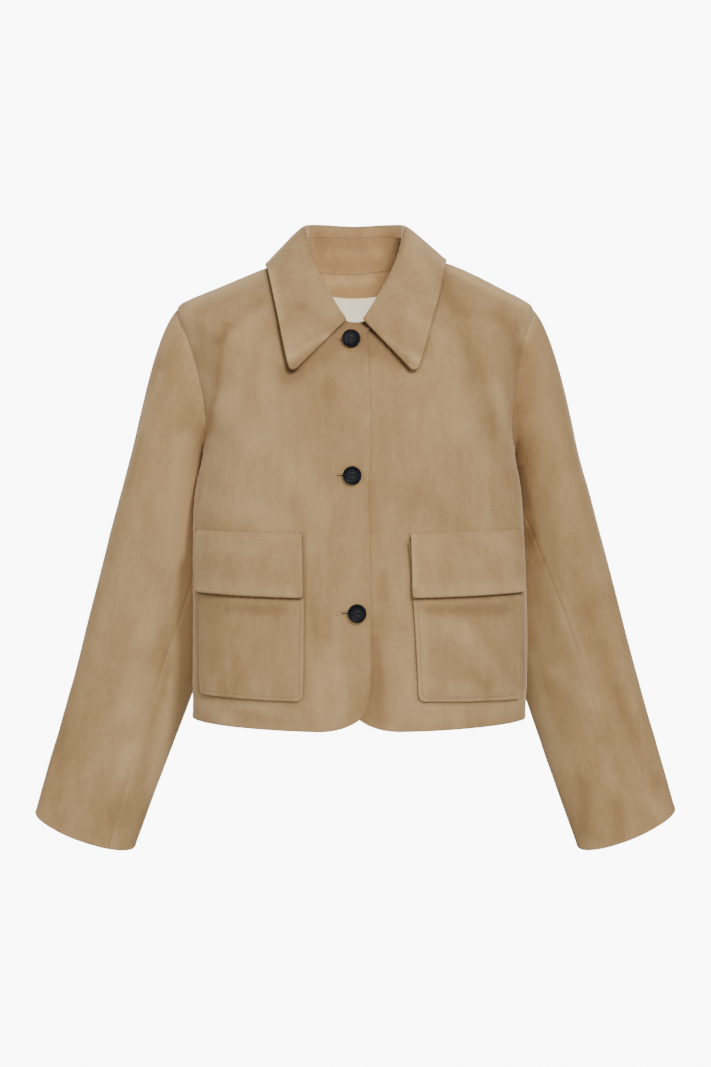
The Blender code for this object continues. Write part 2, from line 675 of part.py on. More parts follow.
def collar_frame(around):
    """The neckline, the stand's top, the roll's top and the outer edge at a place round the collar.
    around runs from -1 at one front end through 0 at the centre back to 1 at the other end."""
    low = COLLAR["along"][0]
    along = 1 - np.abs(around) * (1 - low)
    side = np.where(around < 0, -1.0, 1.0)
    base = neckline(along)
    top = points(*(collar_line[name](along) for name in ("top_x", "top_y", "top_z")))
    edge = points(*(collar_line[name](along) for name in ("edge_x", "edge_y", "edge_z")))
    rise = unit(top - base)
    out = edge - top
    out = unit(out - np.sum(out * rise, axis=-1, keepdims=True) * rise)
    fold = collar_line["fold"](along)[..., None]
    seam = top - out * fold - rise * collar_line["roll"](along)[..., None]
    end = np.linalg.norm(edge - collar_end(), axis=-1)
    near = np.clip(1 - end / COLLAR_CORNER, 0.0, 1.0)
    edge = edge + unit(top - edge) * (COLLAR_CORNER * (1 - np.sqrt(1 - CORNER_STOP * near**2)))[..., None]
    for place in (base, seam, top, edge, out):
        place[..., 0] *= side
    for place, across in ((seam, COLLAR_ACROSS), (top, COLLAR_ACROSS), (edge, collar_line["lean"](along))):
        place[..., 0] += across
        height = np.clip(place[..., 2], -65.0, 60.0)
        place[..., 2] += COLLAR_TILT * sway["tilt"](height) * place[..., 0]
    return swayed(base), seam, top, edge, out * fold


def stand_mid(around, up):
    base, seam, top, edge, fold = collar_frame(around)
    up = up[..., None]
    tall = np.linalg.norm(seam - base, axis=-1, keepdims=True)
    share = (SEAM + (tall - 2 * SEAM) * up) / tall
    return base + (seam - base) * share - unit(fold) * tall * STAND_BULGE * np.sin(np.pi * share)


def fall_mid(around, down):
    """The fall's middle surface: up from the stand's seam, over the roll and down to the edge."""
    base, seam, top, edge, fold = collar_frame(around)
    rise = unit(seam - base)
    roll = np.linalg.norm(top - seam, axis=-1, keepdims=True)
    inside = np.clip(down / ROLL_SHARE, 0.0, 1.0)
    outside = np.clip((down - ROLL_SHARE) / (1 - ROLL_SHARE), 0.0, 1.0)
    up_part = bezier(inside, seam, seam + rise * roll * ROLL_UP, top - fold * ROLL_IN, top)
    second = top + fold * ROLL_OUT
    down_part = bezier(outside, top, second, edge + (second - edge) * FALL_SWELL, edge)
    return np.where((down < ROLL_SHARE)[..., None], up_part, down_part)


def thick_wall(mid, reach, thick):
    """The wall on both sides of a middle surface mid(around, up) that reaches round the collar on both
    sides as far as reach."""

    def wall(across, up, face):
        step = 0.004
        a = reach * np.interp(across, *np.transpose(COLLAR_ENDS))
        along_it = mid(np.minimum(a + step, 1.0), up) - mid(np.maximum(a - step, -1.0), up)
        over_it = mid(a, np.minimum(up + step, 1.0)) - mid(a, np.maximum(up - step, 0.0))
        normal = unit(np.cross(along_it, over_it))
        return mid(a, up) + normal * (thick * (0.5 - face))[..., None]

    return wall


def laid_wall(side, ends, rows, off, thick, corner=0.0, taper=0.0, droop=0.0):
    """The wall of a piece that lies on a front: its ends, the heights of its rows, how far it stands off at
    a place off(reach, height), the size of its rounded lower corners, how much further in its sides are at
    its lower edge, and how much lower the outer end of that edge hangs."""

    def wall(across, up, face):
        inner, outer = ends
        low, high = rows[0], rows[-1]
        height = row_levels(up, rows)
        inset = taper * (high - height) / (high - low)
        if corner:
            near = np.clip(1 - (height - low) / corner, 0.0, 1.0)
            inset = inset + corner * (1 - np.sqrt(1 - CORNER_STOP * near**2))
        reach = inner + inset + (outer - inner - 2 * inset) * across
        height = height - droop * across * (high - height) / (high - low)
        level = level_at(front_line, height)
        along = share_at(front_line, reach, level)
        return torso(front_line, side * along, level, off(reach, height) + thick * (1 - face))

    return wall


def pocket_off(ends):
    """How far the pocket's back face stands off the front, fullest above the middle."""

    def off(reach, height):
        across = np.clip((reach - ends[0]) / (ends[1] - ends[0]), 0.0, 1.0)
        up = np.clip((height - POCKET_ROWS[0]) / (POCKET_ROWS[-1] - POCKET_ROWS[0]), 0.0, 1.0)
        full = (np.sin(np.pi * across) * np.sin(np.pi * POCKET_PEAK * up)) ** POCKET_FLATNESS
        return POCKET_LIFT + POCKET_FULL * full

    return off


def flap_off(ends):
    """How far the flap's back face stands off the front: over the pocket below its own seam."""
    pocket = pocket_off(ends)

    def off(reach, height):
        over = pocket(reach, height) + SUEDE
        down = (FLAP_ROWS[-1] - height) / (FLAP_ROWS[-1] - FLAP_ROWS[0])
        start = (FLAP_ROWS[-1] - POCKET_ROWS[-1]) / (FLAP_ROWS[-1] - FLAP_ROWS[0])
        return POCKET_LIFT + over * ease(down / start) + FLAP_LIFT * down**2

    return off


def button(folder, name, across, height, under):
    """A rimmed round button with four holes, cut from a turned profile, on the front's surface."""
    profile = bmesh.new()
    wide, thick = BUTTON_WIDE / 2, BUTTON_THICK
    outline = (
        (0.0, thick - BUTTON_DISH),
        (wide - BUTTON_RIM - BUTTON_SLOPE, thick - BUTTON_DISH),
        (wide - BUTTON_RIM, thick),
        (wide - BUTTON_EDGE, thick),
        (wide, thick - BUTTON_CURVE),
        (wide, BUTTON_CURVE),
        (wide - BUTTON_FOOT, 0.0),
        (0.0, 0.0),
    )
    chain = [profile.verts.new((x * MM, 0.0, z * MM)) for x, z in outline]
    for first, second in zip(chain, chain[1:]):
        profile.edges.new((first, second))
    mesh = bpy.data.meshes.new(name)
    profile.to_mesh(mesh)
    profile.free()
    thing = keep(folder, name, mesh, BUTTON_NAVY, 0.35)
    turned = thing.modifiers.new("Turned", "SCREW")
    turned.steps = turned.render_steps = 18
    turned.use_merge_vertices = True
    turned.merge_threshold = 0.00001
    turned.use_smooth_shade = True
    level = level_at(front_line, height)
    along = share_at(front_line, across, level)
    centre = torso(front_line, along, level, LAYER + BUTTON_SHANK) * MM
    outward = unit(torso(front_line, along, level, 10.0) - torso(front_line, along, level, 0.0))
    tilt = math.atan2(-outward[1], outward[2])
    thing.location = centre
    thing.rotation_euler = (tilt, 0.0, 0.0)
    for cutter in button_cutters(under, name, thing):
        cut = thing.modifiers.new("Hole", "BOOLEAN")
        cut.operation = "DIFFERENCE"
        cut.object = cutter
    return thing


def button_cutters(folder, name, carrier):
    """The four rods that cut a button's holes, carried by the button."""
    cutters = []
    for i in range(4):
        angle = math.radians(45 + 90 * i)
        reach = BUTTON_HOLES_APART / 2 * math.sqrt(2) * MM
        rod = bmesh.new()
        radius = BUTTON_HOLE / 2 * MM
        bmesh.ops.create_cone(
            rod, cap_ends=True, segments=6, radius1=radius, radius2=radius, depth=4 * BUTTON_THICK * MM
        )
        mesh = bpy.data.meshes.new(f"{name}_hole")
        rod.to_mesh(mesh)
        rod.free()
        cutter = bpy.data.objects.new(f"{name}_hole_{i + 1}", mesh)
        folder.objects.link(cutter)
        cutter.parent = carrier
        cutter.location = (reach * math.cos(angle), reach * math.sin(angle), 0.0)
        cutter.hide_render = True
        cutter.display_type = "WIRE"
        cutters.append(cutter)
    return cutters


def body_panels(folder):
    for name, side, under in (("front_left", 1, True), ("front_right", -1, False)):
        cloth(folder, name, front_wall(side, under), FRONT_COLUMNS, len(FRONT_LEVELS) - 1)
    cloth(folder, "back", back_wall, BACK_COLUMNS, len(BACK_LEVELS) - 1)


def sleeves(folder):
    for name in ("left", "right"):
        for piece, columns in (("top", TOPSLEEVE_COLUMNS), ("under", UNDERSLEEVE_COLUMNS)):
            cloth(folder, f"{piece}sleeve_{name}", sleeve_wall(name, piece), columns, SLEEVE_ROWS)


def collar(folder):
    cloth(folder, "collar_stand", thick_wall(stand_mid, STAND_REACH, DOUBLE), STAND_COLUMNS, STAND_ROWS)
    cloth(folder, "collar_fall", thick_wall(fall_mid, 1.0, DOUBLE), FALL_COLUMNS, FALL_ROWS)


def inside_back(folder):
    top_row = len(BACK_LEVELS) - 1
    facing = inner_wall(FACING_FIRST_ROW, top_row, FACING_SHARE, SUEDE + LAYER, SUEDE)
    cloth(folder, "back_neck_facing", facing, BACK_COLUMNS, FACING_ROWS)
    share = LINING_COLUMNS / BACK_COLUMNS
    trim = SEAM / SIDE_LENGTH
    rows = FACING_FIRST_ROW - LINING_FIRST_ROW
    lining = inner_wall(LINING_FIRST_ROW, FACING_FIRST_ROW, share, SUEDE + LINING_GAP, LINING, trim)
    cloth(folder, "back_lining", lining, LINING_COLUMNS, rows, LINING_CREAM, 0.6)


def pockets(folder):
    for name, side in (("left", 1), ("right", -1)):
        ends = POCKET_ENDS[name]
        off = pocket_off(ends)
        lower = (POCKET_CORNER, POCKET_TAPER, POCKET_DROOP[name])
        bag = laid_wall(side, ends, POCKET_ROWS, off, SUEDE, *lower)
        cloth(folder, f"pocket_{name}", bag, POCKET_COLUMNS, len(POCKET_ROWS) - 1)
        lid = laid_wall(side, FLAP_ENDS[name], FLAP_ROWS, flap_off(ends), DOUBLE)
        cloth(folder, f"flap_{name}", lid, POCKET_COLUMNS, len(FLAP_ROWS) - 1)


def buttons(folder, under):
    for i, (across, height) in enumerate(zip(BUTTONS["across"], BUTTONS["height"])):
        button(folder, f"button_{i + 1}", across, height, under)


def main():
    clear_folder()
    jacket = new_folder("suede_jacket")
    helpers = new_folder("cutters")
    body_panels(jacket)
    sleeves(jacket)
    collar(jacket)
    inside_back(jacket)
    pockets(jacket)
    buttons(jacket, helpers)


main()
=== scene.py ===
"""Cropped suede jacket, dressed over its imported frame: each cut piece is a thin shell of cloth on its solid.

The front faces -Y, +X is the wearer's left and +Z is up. Tables and cloth sizes are in millimetres, and MM
turns them to metres.
"""

import math

import bpy
import numpy as np
from mathutils import Matrix, Vector


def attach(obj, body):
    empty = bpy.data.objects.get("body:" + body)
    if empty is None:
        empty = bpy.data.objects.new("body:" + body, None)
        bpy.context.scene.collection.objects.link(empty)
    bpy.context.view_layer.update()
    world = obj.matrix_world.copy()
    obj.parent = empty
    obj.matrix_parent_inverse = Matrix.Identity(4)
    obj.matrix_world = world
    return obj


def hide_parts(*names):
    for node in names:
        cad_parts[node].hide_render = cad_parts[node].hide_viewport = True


bl_info = {
    "name": "Suede Jacket",
    "version": (1, 0, 0),
    "blender": (4, 5, 0),
    "location": "View3D > Sidebar > Jacket",
    "description": "Cuts and sews a cropped suede jacket over its frame",
    "category": "Object",
}

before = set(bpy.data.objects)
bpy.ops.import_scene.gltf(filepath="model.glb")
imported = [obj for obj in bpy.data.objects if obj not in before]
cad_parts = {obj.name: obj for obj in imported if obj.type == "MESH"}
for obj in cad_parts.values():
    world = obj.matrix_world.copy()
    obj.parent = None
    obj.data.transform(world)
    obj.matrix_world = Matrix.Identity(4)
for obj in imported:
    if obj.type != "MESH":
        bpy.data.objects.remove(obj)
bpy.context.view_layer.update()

MM = 0.001
BODY = "root"
SIDES = {"left": 1, "right": -1}  # the wearer's sides, as signs of X
NAMES = {side: name for name, side in SIDES.items()}

# Thicknesses and gaps
SUEDE = 1.6
DOUBLE = 2.4
LINING = 1.0
SEAM = -0.3  # gap between two pieces at a seam: they go a little into each other
LAYER = 0.5  # gap between two pieces that lie on each other
FOLD_FADE = 0.12  # share of a piece in which its folds fade out towards a seam
SLEEVE_GIRTH, SLEEVE_LENGTH = 320.0, 600.0

# Front opening
FRONT_LAP = 12.0  # how far each front goes past the centre line
UNDER_LAP = 2.6  # how far the left front lies under the right one
UNDER_FADE = (18.0, 60.0)  # where the left front comes back out, from the centre line
NECK_DROP, NECK_DROP_WIDE, NECK_DROP_TALL = 0.056, 30.0, 0.11  # the right front's upper corner
CORNER_WIDE, CORNER_HIGH, CORNER_IN, CORNER_TALL = 32.0, 23.0, 11.5, 62.0  # the rounded hem corners
CORNER_STOP = 0.97  # below 1, so that a quarter round never runs quite along its edge

# Pockets and flaps
POCKET_ENDS = {"left": (53.8, 201.5), "right": (60.3, 203.5)}
FLAP_ENDS = {"left": (56.5, 203.0), "right": (61.2, 200.5)}
POCKET_TAPER = {"left": (10.5, 5.0), "right": (1.6, 8.5)}
POCKET_CORNER, FLAP_CORNER = 8.0, 3.6
POCKET_DROOP = {"left": 6.0, "right": 0.0}  # the drop of a pocket's outer lower end
POCKET_LIFT = 1.0  # from the front to a pocket's back face at its edge
POCKET_FULL, POCKET_FLATNESS, POCKET_PEAK = 2.6, 0.7, 0.75  # how full a pocket is, and how that fades out
FLAP_LIFT = 0.8  # how much further the flap's lower edge stands off
POCKET_LOW, POCKET_HIGH = -493.0, -318.0
POCKET_STITCH, POCKET_TURN, POCKET_STITCH_TOP = 4.6, 9.0, 150.0  # its line of stitches: inset, corner and top
FLAP_LOW, FLAP_HIGH = -380.0, -310.0

NECK_LEVEL = 0.9992
LINING_LOW, FACING_LOW = 0.610, 0.960  # levels at which the lining and the facing start
LINING_KEEP, FACING_KEEP = 24 / 28, 0.985  # their width, as a share of the back's row
LINING_TUCK, LINING_GAP, FACING_RISE = 0.002, 0.9, 0.9


def table(names, *rows):
    """A short table of sections: the named columns, a row for each section."""
    return dict(zip(names.split(), np.array(rows, float).T))


# The line where front and back meet: up the side seam, across the armhole, then in along the shoulder seam
SIDE_LINE = table(
    "level  end_x   end_y   end_z",
    (0.000, 188.5, -21.0, -518.0),
    (0.090, 189.5, -21.0, -462.0),
    (0.181, 189.5, -20.0, -404.0),
    (0.359, 187.5, -17.0, -297.0),
    (0.430, 184.5, -13.0, -255.0),
    (0.504, 177.5, -8.0, -212.0),
    (0.575, 181.5, -5.0, -170.0),
    (0.659, 191.5, 0.0, -120.0),
    (0.727, 200.0, 3.0, -78.0),
    (0.764, 204.0, 4.0, -52.5),
    (0.792, 195.0, 4.0, -43.0),
    (0.835, 172.0, 4.0, -32.0),
    (0.898, 136.0, 3.0, -15.5),
    (0.960, 100.0, 2.0, -1.0),
    (1.000, 77.0, 1.0, 6.0),
)
FRONT_LINE = table(
    "level  mid_y   mid_z  wide  deep",
    (0.000, -128.0, -526.3, 0.66, 62.0),
    (0.090, -131.0, -468.0, 0.66, 64.0),
    (0.181, -131.5, -411.0, 0.66, 64.0),
    (0.359, -129.0, -303.0, 0.66, 64.0),
    (0.504, -124.0, -222.0, 0.64, 62.0),
    (0.575, -120.0, -186.0, 0.64, 60.0),
    (0.659, -114.0, -152.0, 0.62, 55.0),
    (0.727, -107.5, -128.0, 0.60, 46.0),
    (0.764, -103.5, -116.0, 0.60, 40.0),
    (0.792, -100.0, -108.0, 0.60, 38.0),
    (0.835, -95.0, -97.0, 0.60, 38.0),
    (0.898, -89.5, -87.0, 0.58, 34.0),
    (0.960, -85.0, -80.0, 0.52, 28.0),
    (1.000, -82.5, -73.5, 0.46, 23.0),
)
BACK_LINE = table(
    "level  mid_y   mid_z  wide  deep",
    (0.000, 92.0, -522.0, 0.58, 58.0),
    (0.090, 94.0, -466.0, 0.58, 58.0),
    (0.181, 95.5, -409.0, 0.58, 58.0),
    (0.359, 98.0, -300.0, 0.58, 58.0),
    (0.504, 101.0, -214.0, 0.58, 56.0),
    (0.575, 101.0, -176.0, 0.60, 54.0),
    (0.659, 98.0, -138.0, 0.60, 48.0),
    (0.727, 93.5, -112.0, 0.60, 42.0),
    (0.764, 90.0, -99.0, 0.60, 36.0),
    (0.792, 87.0, -90.0, 0.60, 34.0),
    (0.835, 81.0, -75.0, 0.60, 32.0),
    (0.898, 71.0, -53.0, 0.60, 30.0),
    (0.960, 60.0, -33.0, 0.60, 26.0),
    (1.000, 48.0, -6.0, 0.60, 22.0),
)
# How much of each row the front and the back keep beside the armhole
ARMHOLE = table(
    "level  front  back",
    (0.504, 1.000, 1.000),
    (0.512, 0.930, 0.925),
    (0.530, 0.872, 0.860),
    (0.565, 0.815, 0.790),
    (0.610, 0.790, 0.750),
    (0.660, 0.790, 0.745),
    (0.705, 0.815, 0.780),
    (0.740, 0.880, 0.860),
    (0.764, 1.000, 1.000),
)
# The hang of the body: how far it goes to the wearer's left, and its rise for each millimetre across
SWAY = table(
    "height across tilt",
    (-540.0, 3.4, 0.0),
    (-420.0, 5.2, 0.0),
    (-330.0, 3.8, 0.0),
    (-250.0, 3.2, 0.0),
    (-205.0, 4.4, 0.0),
    (-120.0, 2.4, 0.0),
    (-65.0, 0.0, 0.0),
    (-35.0, -0.6, 0.006),
    (-12.0, -1.0, 0.028),
    (8.0, -1.1, 0.032),
    (36.0, -1.2, 0.006),
    (60.0, -1.2, 0.0),
)

# Soft folds of the fronts and the back: the main ones, then the finer ones between them. Each goes from one
# place to another as seen from the front, with its width to either side and its depth, above 0 for a trough
# and below 0 for a ridge.
FRONT_FOLDS = table(
    "from_x from_z to_x to_z wide deep",
    (-172, -90, -166, -196, 8, 1),
    (-146, -96, -160, -166, 12, -1),
    (-126, -84, -158, -150, 10, 1.8),
    (-10, -122, -4, -190, 13, 1.2),
    (124, -64, 156, -196, 13, 2.4),
    (96, -110, 118, -190, 20, -1.8),
    (176, -110, 180, -232, 8, 1.2),
    (24, -360, 30, -510, 10, 2.6),
    (24, -140, 24, -380, 7, 1.6),
    (-26, -440, -22, -512, 10, -1.4),
    (-84, -400, -132, -470, 16, 1.6),
    (92, -398, 166, -470, 16, -2),
    (84, -440, 140, -492, 12, 1.4),
    (-40, -400, -36, -500, 8, 0.8),
    (-12, -455, -8, -515, 6, 0.7),
    (-60, -250, -52, -330, 18, -0.8),
    (60, -210, 52, -300, 18, 0.7),
    (-110, -190, -128, -290, 20, 0.9),
    (118, -240, 132, -300, 18, -0.9),
    (44, -450, 52, -516, 8, -0.7),
    (-150, -505, -142, -470, 8, 0.7),
    (-104, -512, -100, -484, 8, -0.6),
)
BACK_FOLDS = table(
    "from_x from_z to_x to_z wide deep",
    (-150, -90, -128, -220, 16, 2.4),
    (146, -84, 132, -236, 15, 2.2),
    (-118, -130, -96, -250, 20, -1.8),
    (104, -120, 90, -230, 18, -1.6),
    (-60, -330, -74, -500, 18, 1.8),
    (38, -380, 30, -512, 14, 1.6),
    (112, -400, 122, -505, 15, -1.6),
    (-20, -60, -4, -150, 16, -0.8),
    (16, -240, 6, -340, 20, 0.9),
    (-128, -300, -120, -420, 18, 1),
    (70, -290, 84, -380, 18, -0.9),
    (-20, -440, -16, -515, 9, -0.8),
    (78, -450, 84, -515, 9, 0.8),
    (-100, -460, -108, -512, 9, -0.7),
)

# Sleeve rings from the upper arm to the cuff
SLEEVE = table(
    "along outer_x outer_z inner_x inner_z mid_y swing deep drop across",
    (0.22, 257.0, -222.0, 172.5, -243.0, 24.0, 20.0, 59.0, 2.0, 3.2),
    (0.40, 277.0, -296.0, 167.0, -322.0, 30.0, 26.0, 53.0, 4.0, 4.0),
    (0.58, 301.0, -382.0, 170.5, -422.0, 40.0, 22.0, 42.5, 5.0, 3.5),
    (0.74, 326.0, -474.0, 199.0, -511.0, 41.0, 12.0, 37.5, 7.0, 3.0),
    (0.88, 351.5, -562.0, 230.0, -598.0, 38.0, 6.0, 32.5, 9.0, 1.4),
    (1.00, 370.5, -632.0, 256.5, -672.0, 32.0, 2.0, 29.5, 11.0, 0.8),
)
# How the sleeve head leaves the armhole, going round it from the underarm by the front and the shoulder
SLEEVE_HEAD = table(
    "round  out  back  down",
    (0.000, 8.0, 8.0, 14.0),
    (0.125, 38.0, -12.0, 18.0),
    (0.250, 66.0, -24.0, 38.0),
    (0.375, 78.0, -14.0, 60.0),
    (0.500, 80.0, 0.0, 66.0),
    (0.625, 80.0, 14.0, 62.0),
    (0.750, 66.0, 24.0, 38.0),
    (0.875, 38.0, 12.0, 18.0),
    (1.000, 8.0, 8.0, 14.0),
)
SLEEVE_LEAN = math.radians(13.0)
HEAD_OUT = {"left": 0.97, "right": 0.96}  # below 1 a sleeve head stands out less
SLEEVE_FULL = {"left": 0.74, "right": 0.55}  # below 1 a sleeve is fuller towards the body
SLEEVE_AHEAD = {"left": 0.0, "right": 5.0}  # how far a sleeve comes forwards above its cuff
FULL_FADE, AHEAD_FADE = 0.45, 0.5  # shares of the sleeve over which these two end at the cuff
CUFF_LIFT = {"left": 4.0, "right": 0.0}  # how far the outer end of a cuff is lifted
CUFF_RISE = 8  # how late that lift starts, as a power
HEAD_FADE = 0.06  # share of the sleeve in which its unevenness fades out towards the armhole
# Where the two seams of a sleeve run, as shares of the way round each ring from its inner end, by the front
SLEEVE_SEAMS = {
    "left": table(
        "along forearm elbow",
        (0.00, 0.050, 0.800),
        (0.22, 0.090, 0.785),
        (0.40, 0.190, 0.770),
        (0.58, 0.258, 0.755),
        (0.80, 0.264, 0.750),
        (1.00, 0.255, 0.745),
    ),
    "right": table(
        "along forearm elbow",
        (0.00, 0.050, 0.780),
        (0.22, 0.070, 0.745),
        (0.40, 0.120, 0.720),
        (0.58, 0.178, 0.700),
        (0.80, 0.180, 0.690),
        (1.00, 0.163, 0.680),
    ),
}
# Soft folds of the sleeves: from one share of the way round and along to another, width and depth
SLEEVE_FOLDS = {
    "left": table(
        "from_round from_along to_round to_along wide deep",
        (0.28, 0.20, 0.12, 0.46, 13, 1.2),
        (0.36, 0.60, 0.40, 0.78, 14, -1.8),
        (0.20, 0.74, 0.34, 0.99, 12, 1.8),
        (0.62, 0.16, 0.56, 0.40, 16, 1.8),
        (0.86, 0.50, 0.72, 0.60, 12, 1.8),
        (0.84, 0.62, 0.70, 0.72, 12, 1.5),
        (0.30, 0.46, 0.26, 0.60, 10, 0.8),
        (0.44, 0.30, 0.40, 0.52, 18, -0.9),
        (0.34, 0.84, 0.36, 0.98, 8, 0.8),
        (0.60, 0.60, 0.56, 0.86, 14, 0.9),
        (0.10, 0.62, 0.06, 0.80, 10, 0.9),
        (0.92, 0.40, 0.80, 0.46, 9, 1),
    ),
    "right": table(
        "from_round from_along to_round to_along wide deep",
        (0.22, 0.08, 0.10, 0.30, 12, 0.9),
        (0.22, 0.62, 0.22, 0.98, 12, 1.8),
        (0.36, 0.48, 0.38, 0.72, 18, -1.6),
        (0.44, 0.84, 0.36, 0.99, 12, 1.6),
        (0.64, 0.14, 0.58, 0.38, 16, 1.8),
        (0.84, 0.48, 0.70, 0.60, 12, 1.8),
        (0.82, 0.64, 0.70, 0.72, 12, 1.5),
        (0.28, 0.36, 0.22, 0.52, 12, 0.9),
        (0.40, 0.20, 0.42, 0.44, 16, -0.9),
        (0.30, 0.80, 0.30, 0.96, 8, -0.8),
        (0.58, 0.56, 0.54, 0.84, 14, 0.9),
        (0.08, 0.60, 0.04, 0.82, 10, 0.9),
        (0.92, 0.38, 0.80, 0.45, 9, 1),
    ),
}

# Collar, from its front end to the centre back
COLLAR = table(
    "along  top_x  top_y   top_z  edge_x edge_y  edge_z  lean  roll  fold",
    (0.040, 11.2, -87.5, -74.0, 69.0, -112.5, -134.8, -2.4, 1.2, 1.4),
    (0.140, 23.5, -75.5, -50.5, 76.0, -103.0, -110.0, -1.5, 5.0, 3.6),
    (0.320, 41.0, -50.0, -17.0, 85.5, -79.5, -71.0, -0.2, 9.0, 4.5),
    (0.490, 52.5, -25.0, 15.5, 96.0, -42.5, -28.5, 1.0, 11.0, 4.5),
    (0.620, 56.5, -5.0, 37.0, 103.0, -1.0, 0.8, 0.8, 12.0, 4.5),
    (0.700, 56.5, 10.0, 43.8, 102.5, 27.0, -0.5, 0.5, 13.0, 4.5),
    (0.855, 32.0, 37.0, 47.8, 62.0, 68.0, -8.0, 0.0, 13.0, 4.5),
    (1.000, 0.0, 45.0, 47.2, 0.0, 76.0, -12.0, 0.0, 13.0, 4.5),
)
STAND_BULGE, STAND_REACH = 0.04, 0.97  # how far the stand bows inwards, and how far round it goes
NECK_TUCK, NECK_IN = -1.4, 1.3  # how far the stand's lower edge goes into the neck seam, and inwards
COLLAR_ACROSS, COLLAR_TILT, COLLAR_CORNER = -0.9, 0.6, 12.0  # its place and tilt, and its rounded points
COLLAR_SWAY = (-65.0, 60.0)  # the heights between which it tilts with the body
COLLAR_RIPPLE = 0.5  # how much of the suede's unevenness it has
ROLL_SHARE, ROLL_UP, ROLL_IN, ROLL_OUT, FALL_SWELL = 0.22, 0.5, 0.8, 1.2, 0.35  # how the fall rolls over

# Places of the buttons, and of the outer end of each buttonhole: across from the centre line, and height
BUTTONS = table("across height hole", (-5.9, -95.5, -19.0), (-6.9, -246.0, -24.5), (-3.2, -396.0, -21.8))


def spline(knots, values):
    """The natural cubic curve through a column of a table."""
    last = len(knots) - 1
    step = np.diff(knots)
    slope = np.diff(values) / step
    system = np.eye(last + 1)
    right = np.zeros(last + 1)
    for i in range(1, last):
        system[i, i - 1 : i + 2] = step[i - 1], 2 * (step[i - 1] + step[i]), step[i]
        right[i] = 6 * (slope[i] - slope[i - 1])
    bend = np.linalg.solve(system, right)

    def at(place):
        i = np.clip(np.searchsorted(knots, place) - 1, 0, last - 1)
        after, before = place - knots[i], knots[i + 1] - place
        ends = (bend[i] * before**3 + bend[i + 1] * after**3) / (6 * step[i])
        low = (values[i] / step[i] - bend[i] * step[i] / 6) * before
        high = (values[i + 1] / step[i] - bend[i + 1] * step[i] / 6) * after
        return ends + low + high

    return at


def curves(rows):
    """The columns of a table as curves over its first column."""
    names = list(rows)
    return {name: spline(rows[names[0]], rows[name]) for name in names[1:]}


def ease(share):
    share = np.clip(share, 0.0, 1.0)
    return share * share * (3 - 2 * share)


def bezier(t, first, second, third, fourth):
    t = np.asarray(t)[..., None]
    return (
        first * (1 - t) ** 3
        + 3 * second * t * (1 - t) ** 2
        + 3 * third * t * t * (1 - t)
        + fourth * t**3
    )


def points(x, y, z):
    return np.stack(np.broadcast_arrays(x, y, z), axis=-1).astype(float)


def unit(vectors):
    return vectors / np.linalg.norm(vectors, axis=-1, keepdims=True)


side_line = curves(SIDE_LINE)
front_line = curves(FRONT_LINE)
back_line = curves(BACK_LINE)
ARMHOLE_LOW, ARMHOLE_HIGH = ARMHOLE["level"][0], ARMHOLE["level"][-1]
ARMHOLE_ROOTS = np.sqrt(ARMHOLE["level"] - ARMHOLE_LOW)
armhole_keep = {panel: spline(ARMHOLE_ROOTS, ARMHOLE[panel]) for panel in ("front", "back")}
sway = curves(SWAY)
sleeve_ring = curves(SLEEVE)
sleeve_head = curves(SLEEVE_HEAD)
sleeve_seams = {side: curves(rows) for side, rows in SLEEVE_SEAMS.items()}
collar_line = curves(COLLAR)

LATTICE = 32
lattice = np.random.default_rng(11).uniform(-1.0, 1.0, (LATTICE, LATTICE, LATTICE))


def unevenness(place, size):
    """A smooth random value between about -1 and 1 that changes over a distance of size."""
    spot = place / size + 1000.0
    cell = np.floor(spot).astype(int)
    share = ease(spot - cell)
    total = np.zeros(place.shape[:-1])
    for corner in np.ndindex(2, 2, 2):
        weight = np.ones(place.shape[:-1])
        for axis in range(3):
            weight = weight * (share[..., axis] if corner[axis] else 1 - share[..., axis])
        index = tuple((cell[..., axis] + corner[axis]) % LATTICE for axis in range(3))
        total += weight * lattice[index]
    return total


def swell(far, middle, wide):
    """1 at a distance of middle, fading out over wide to either side."""
    return np.exp(-(((far - middle) / wide) ** 2))


# The slight unevenness of hung suede: how wide and deep it is, how drawn out in height, and where it starts
RIPPLES = ((46.0, 0.55, 0.6, 0.0), (17.0, 0.16, 0.7, 500.0))


def ripple(place):
    """How far the unevenness presses a place in."""
    waves = ((deep, unevenness(place * (1, 1, tall) + start, wide)) for wide, deep, tall, start in RIPPLES)
    return sum(deep * wave for deep, wave in waves)


def fold_depth(folds, across, up):
    """How far the folds press a place in: a soft trough or ridge along each fold's line."""
    depth = np.zeros(np.shape(across))
    for x0, z0, x1, z1, wide, deep in zip(*folds.values()):
        run = (x1 - x0) ** 2 + (z1 - z0) ** 2
        share = np.clip(((across - x0) * (x1 - x0) + (up - z0) * (z1 - z0)) / run, 0.0, 1.0)
        off_line = (across - x0 - share * (x1 - x0)) ** 2 + (up - z0 - share * (z1 - z0)) ** 2
        depth += deep * np.exp(-off_line / wide**2)
    return depth


def swayed(place):
    """The place moved across and tilted with the hang of the body."""
    moved = place.copy()
    height = np.clip(place[..., 2], SWAY["height"][0], SWAY["height"][-1])
    moved[..., 0] += sway["across"](height)
    moved[..., 2] += sway["tilt"](height) * place[..., 0]
    return moved


